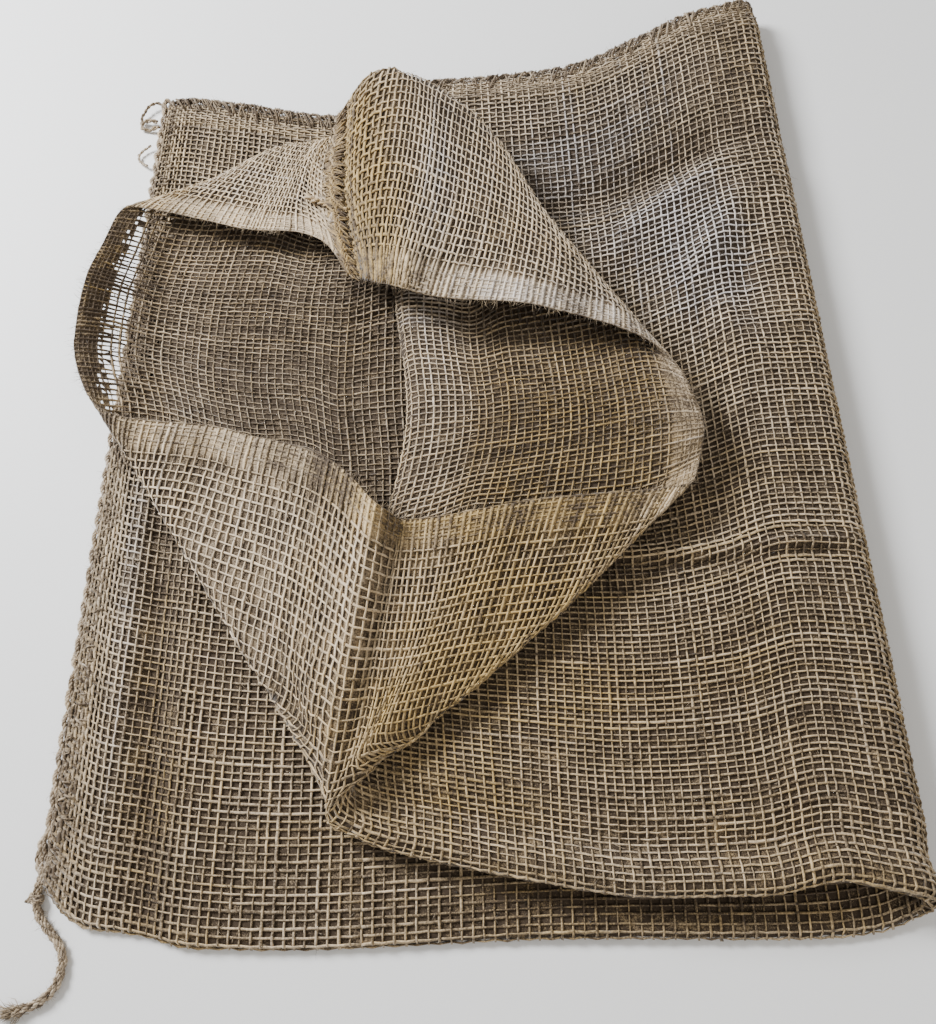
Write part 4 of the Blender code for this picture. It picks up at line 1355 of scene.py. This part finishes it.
def makeStrayFibres(nets, lattice):
    rng = np.random.default_rng(fibreLook["seed"])
    width, length, edge = bagSizes["width"], bagSizes["length"], fibreLook["edge"]

    def spots(names, alongs, acrosses):
        return [atLattice(lattice, lattice[name], alongs, acrosses) for name in names]

    def anySpots(count, start, end):
        alongs = rng.uniform(start, end, count)
        return spots(("middle", "inside", "alongWay", "acrossWay", "tone"), alongs,
                     rng.uniform(-width, width, count))

    def anyWays(onward, sideways):
        turn = rng.uniform(0, 2 * math.pi, (len(onward), 1))
        return onward * np.cos(turn) + sideways * np.sin(turn)

    def hairs(name, starts, ways, lengths, tone, slotName):
        count = len(starts)
        lengths = rng.uniform(*fibreLook[lengths], count)
        makeFibres(name, starts, ways, lengths, np.full(count, fibreLook["radius"]),
                   tone + fibreLook["toneSpread"] * rng.normal(size=count), rng)

    alongs = rng.uniform(edge, length - edge / 2, fibreLook["tuftTries"])
    acrosses = rng.uniform(-width, width, fibreLook["tuftTries"])
    shelter, full = (held[:, 0] for held in spots(("shelter", "full"), alongs, acrosses))
    nearRim = np.exp(-((length - alongs) / fibreLook["rimWidth"]) ** 2)
    chance = fibreLook["tuftChance"]
    wanted = (shelter < fibreLook["sheltered"]) * (chance["usual"] + chance["fuller"] * (full - 1).clip(0)
                                                   + chance["rim"] * nearRim)
    rubbed = np.flatnonzero(rng.uniform(0, 1, len(alongs)) < wanted)
    print(len(rubbed), "tufts")
    point, inward, onward, sideways, tone, gold = spots(
        ("middle", "inside", "alongWay", "acrossWay", "tone", "gold"), alongs[rubbed], acrosses[rubbed])
    count = len(point)
    ways = anyWays(onward, sideways)
    ways = ways + inward * rng.uniform(-fibreLook["tuftTilt"], fibreLook["tuftTilt"], (count, 1))
    upward = np.where(inward[:, 2:] > 0, 1.0, -1.0)
    # the tufts away from the rim are darker: painted shade in the holes
    paintedShade = fibreLook["tuftShade"] * (1 - nearRim[rubbed])
    middles = point + inward * upward * rng.uniform(*fibreLook["tuftLift"], (count, 1)) * mm
    lengths, widths = (rng.uniform(*fibreLook[name], count) for name in ("tuftLength", "tuftWidth"))
    tones = tone[:, 0] - paintedShade + fibreLook["toneSpread"] * rng.normal(size=count)
    golds = gold[:, 0] + fibreLook["tuftGold"] * rng.normal(size=count)
    makeTufts("clothTufts", middles, ways, inward, lengths, widths, tones, golds)

    # longer hairs over the whole cloth
    point, inward, onward, sideways, tone = anySpots(fibreLook["body"], edge, length - edge)
    count = len(point)
    face = rng.choice((-1.0, 1.0), (count, 1))
    ways = anyWays(onward, sideways)
    ways = ways + inward * face * rng.uniform(*fibreLook["bodyTilt"], (count, 1))
    starts = point + inward * face * fibreLook["bodyFrom"]
    hairs("clothFibres", starts, ways, "length", tone[:, 0], "jute_cloth")

    # a fringe along the mouth's rim
    point, inward, onward, sideways, tone = anySpots(fibreLook["rim"], length - edge, length)
    sway, tilt = (rng.normal(size=(len(point), 1)) * fibreLook[name] for name in ("rimSway", "rimTilt"))
    hairs("rimFibres", point, onward + sideways * sway + inward * tilt, "rimLength", tone[:, 0], "jute_cloth")

    # and along both seams
    routes = [sideSeamRoute(nets)[1], bottomSeamRoute(nets)[1]]
    seams = np.concatenate([evenPath(route, fibreLook["seamStep"]) for route in routes])
    point = seams[rng.integers(0, len(seams), fibreLook["seam"])]
    outward = unit(rng.normal(size=point.shape))
    ways = outward * fibreLook["seamOut"] + unit(rng.normal(size=point.shape))
    hairs("seamFibres", point + outward * fibreLook["seamFrom"], ways, "seamLength", fibreLook["seamTone"],
          "jute_twine")


makeTail()
print("tail twisted")
nets = {side: foldNet(side) for side in (-1, 1)}
alongs, acrosses = yarnPlaces()
lattice = {**crossings(nets, alongs, acrosses), "alongs": alongs, "acrosses": acrosses}
lattice = makeWeave(lattice)
print("cloth woven")
makeSeams(nets, lattice)
print("seams whipped")
makeFelt(lattice)
makeStrayFibres(nets, lattice)
print("felt and stray fibres added")


def makeFloor():
    half = floorLook["size"] / 2
    mesh = bpy.data.meshes.new("floor")
    corners = [(-half, -half, 0), (half, -half, 0), (half, half, 0), (-half, half, 0)]
    mesh.from_pydata(corners, [], [(0, 1, 2, 3)])
    mesh.materials.append(makeFloorFinish())
    floor = bpy.data.objects.new("floor", mesh)
    bpy.context.scene.collection.objects.link(floor)


makeFloor()
print("floor laid")
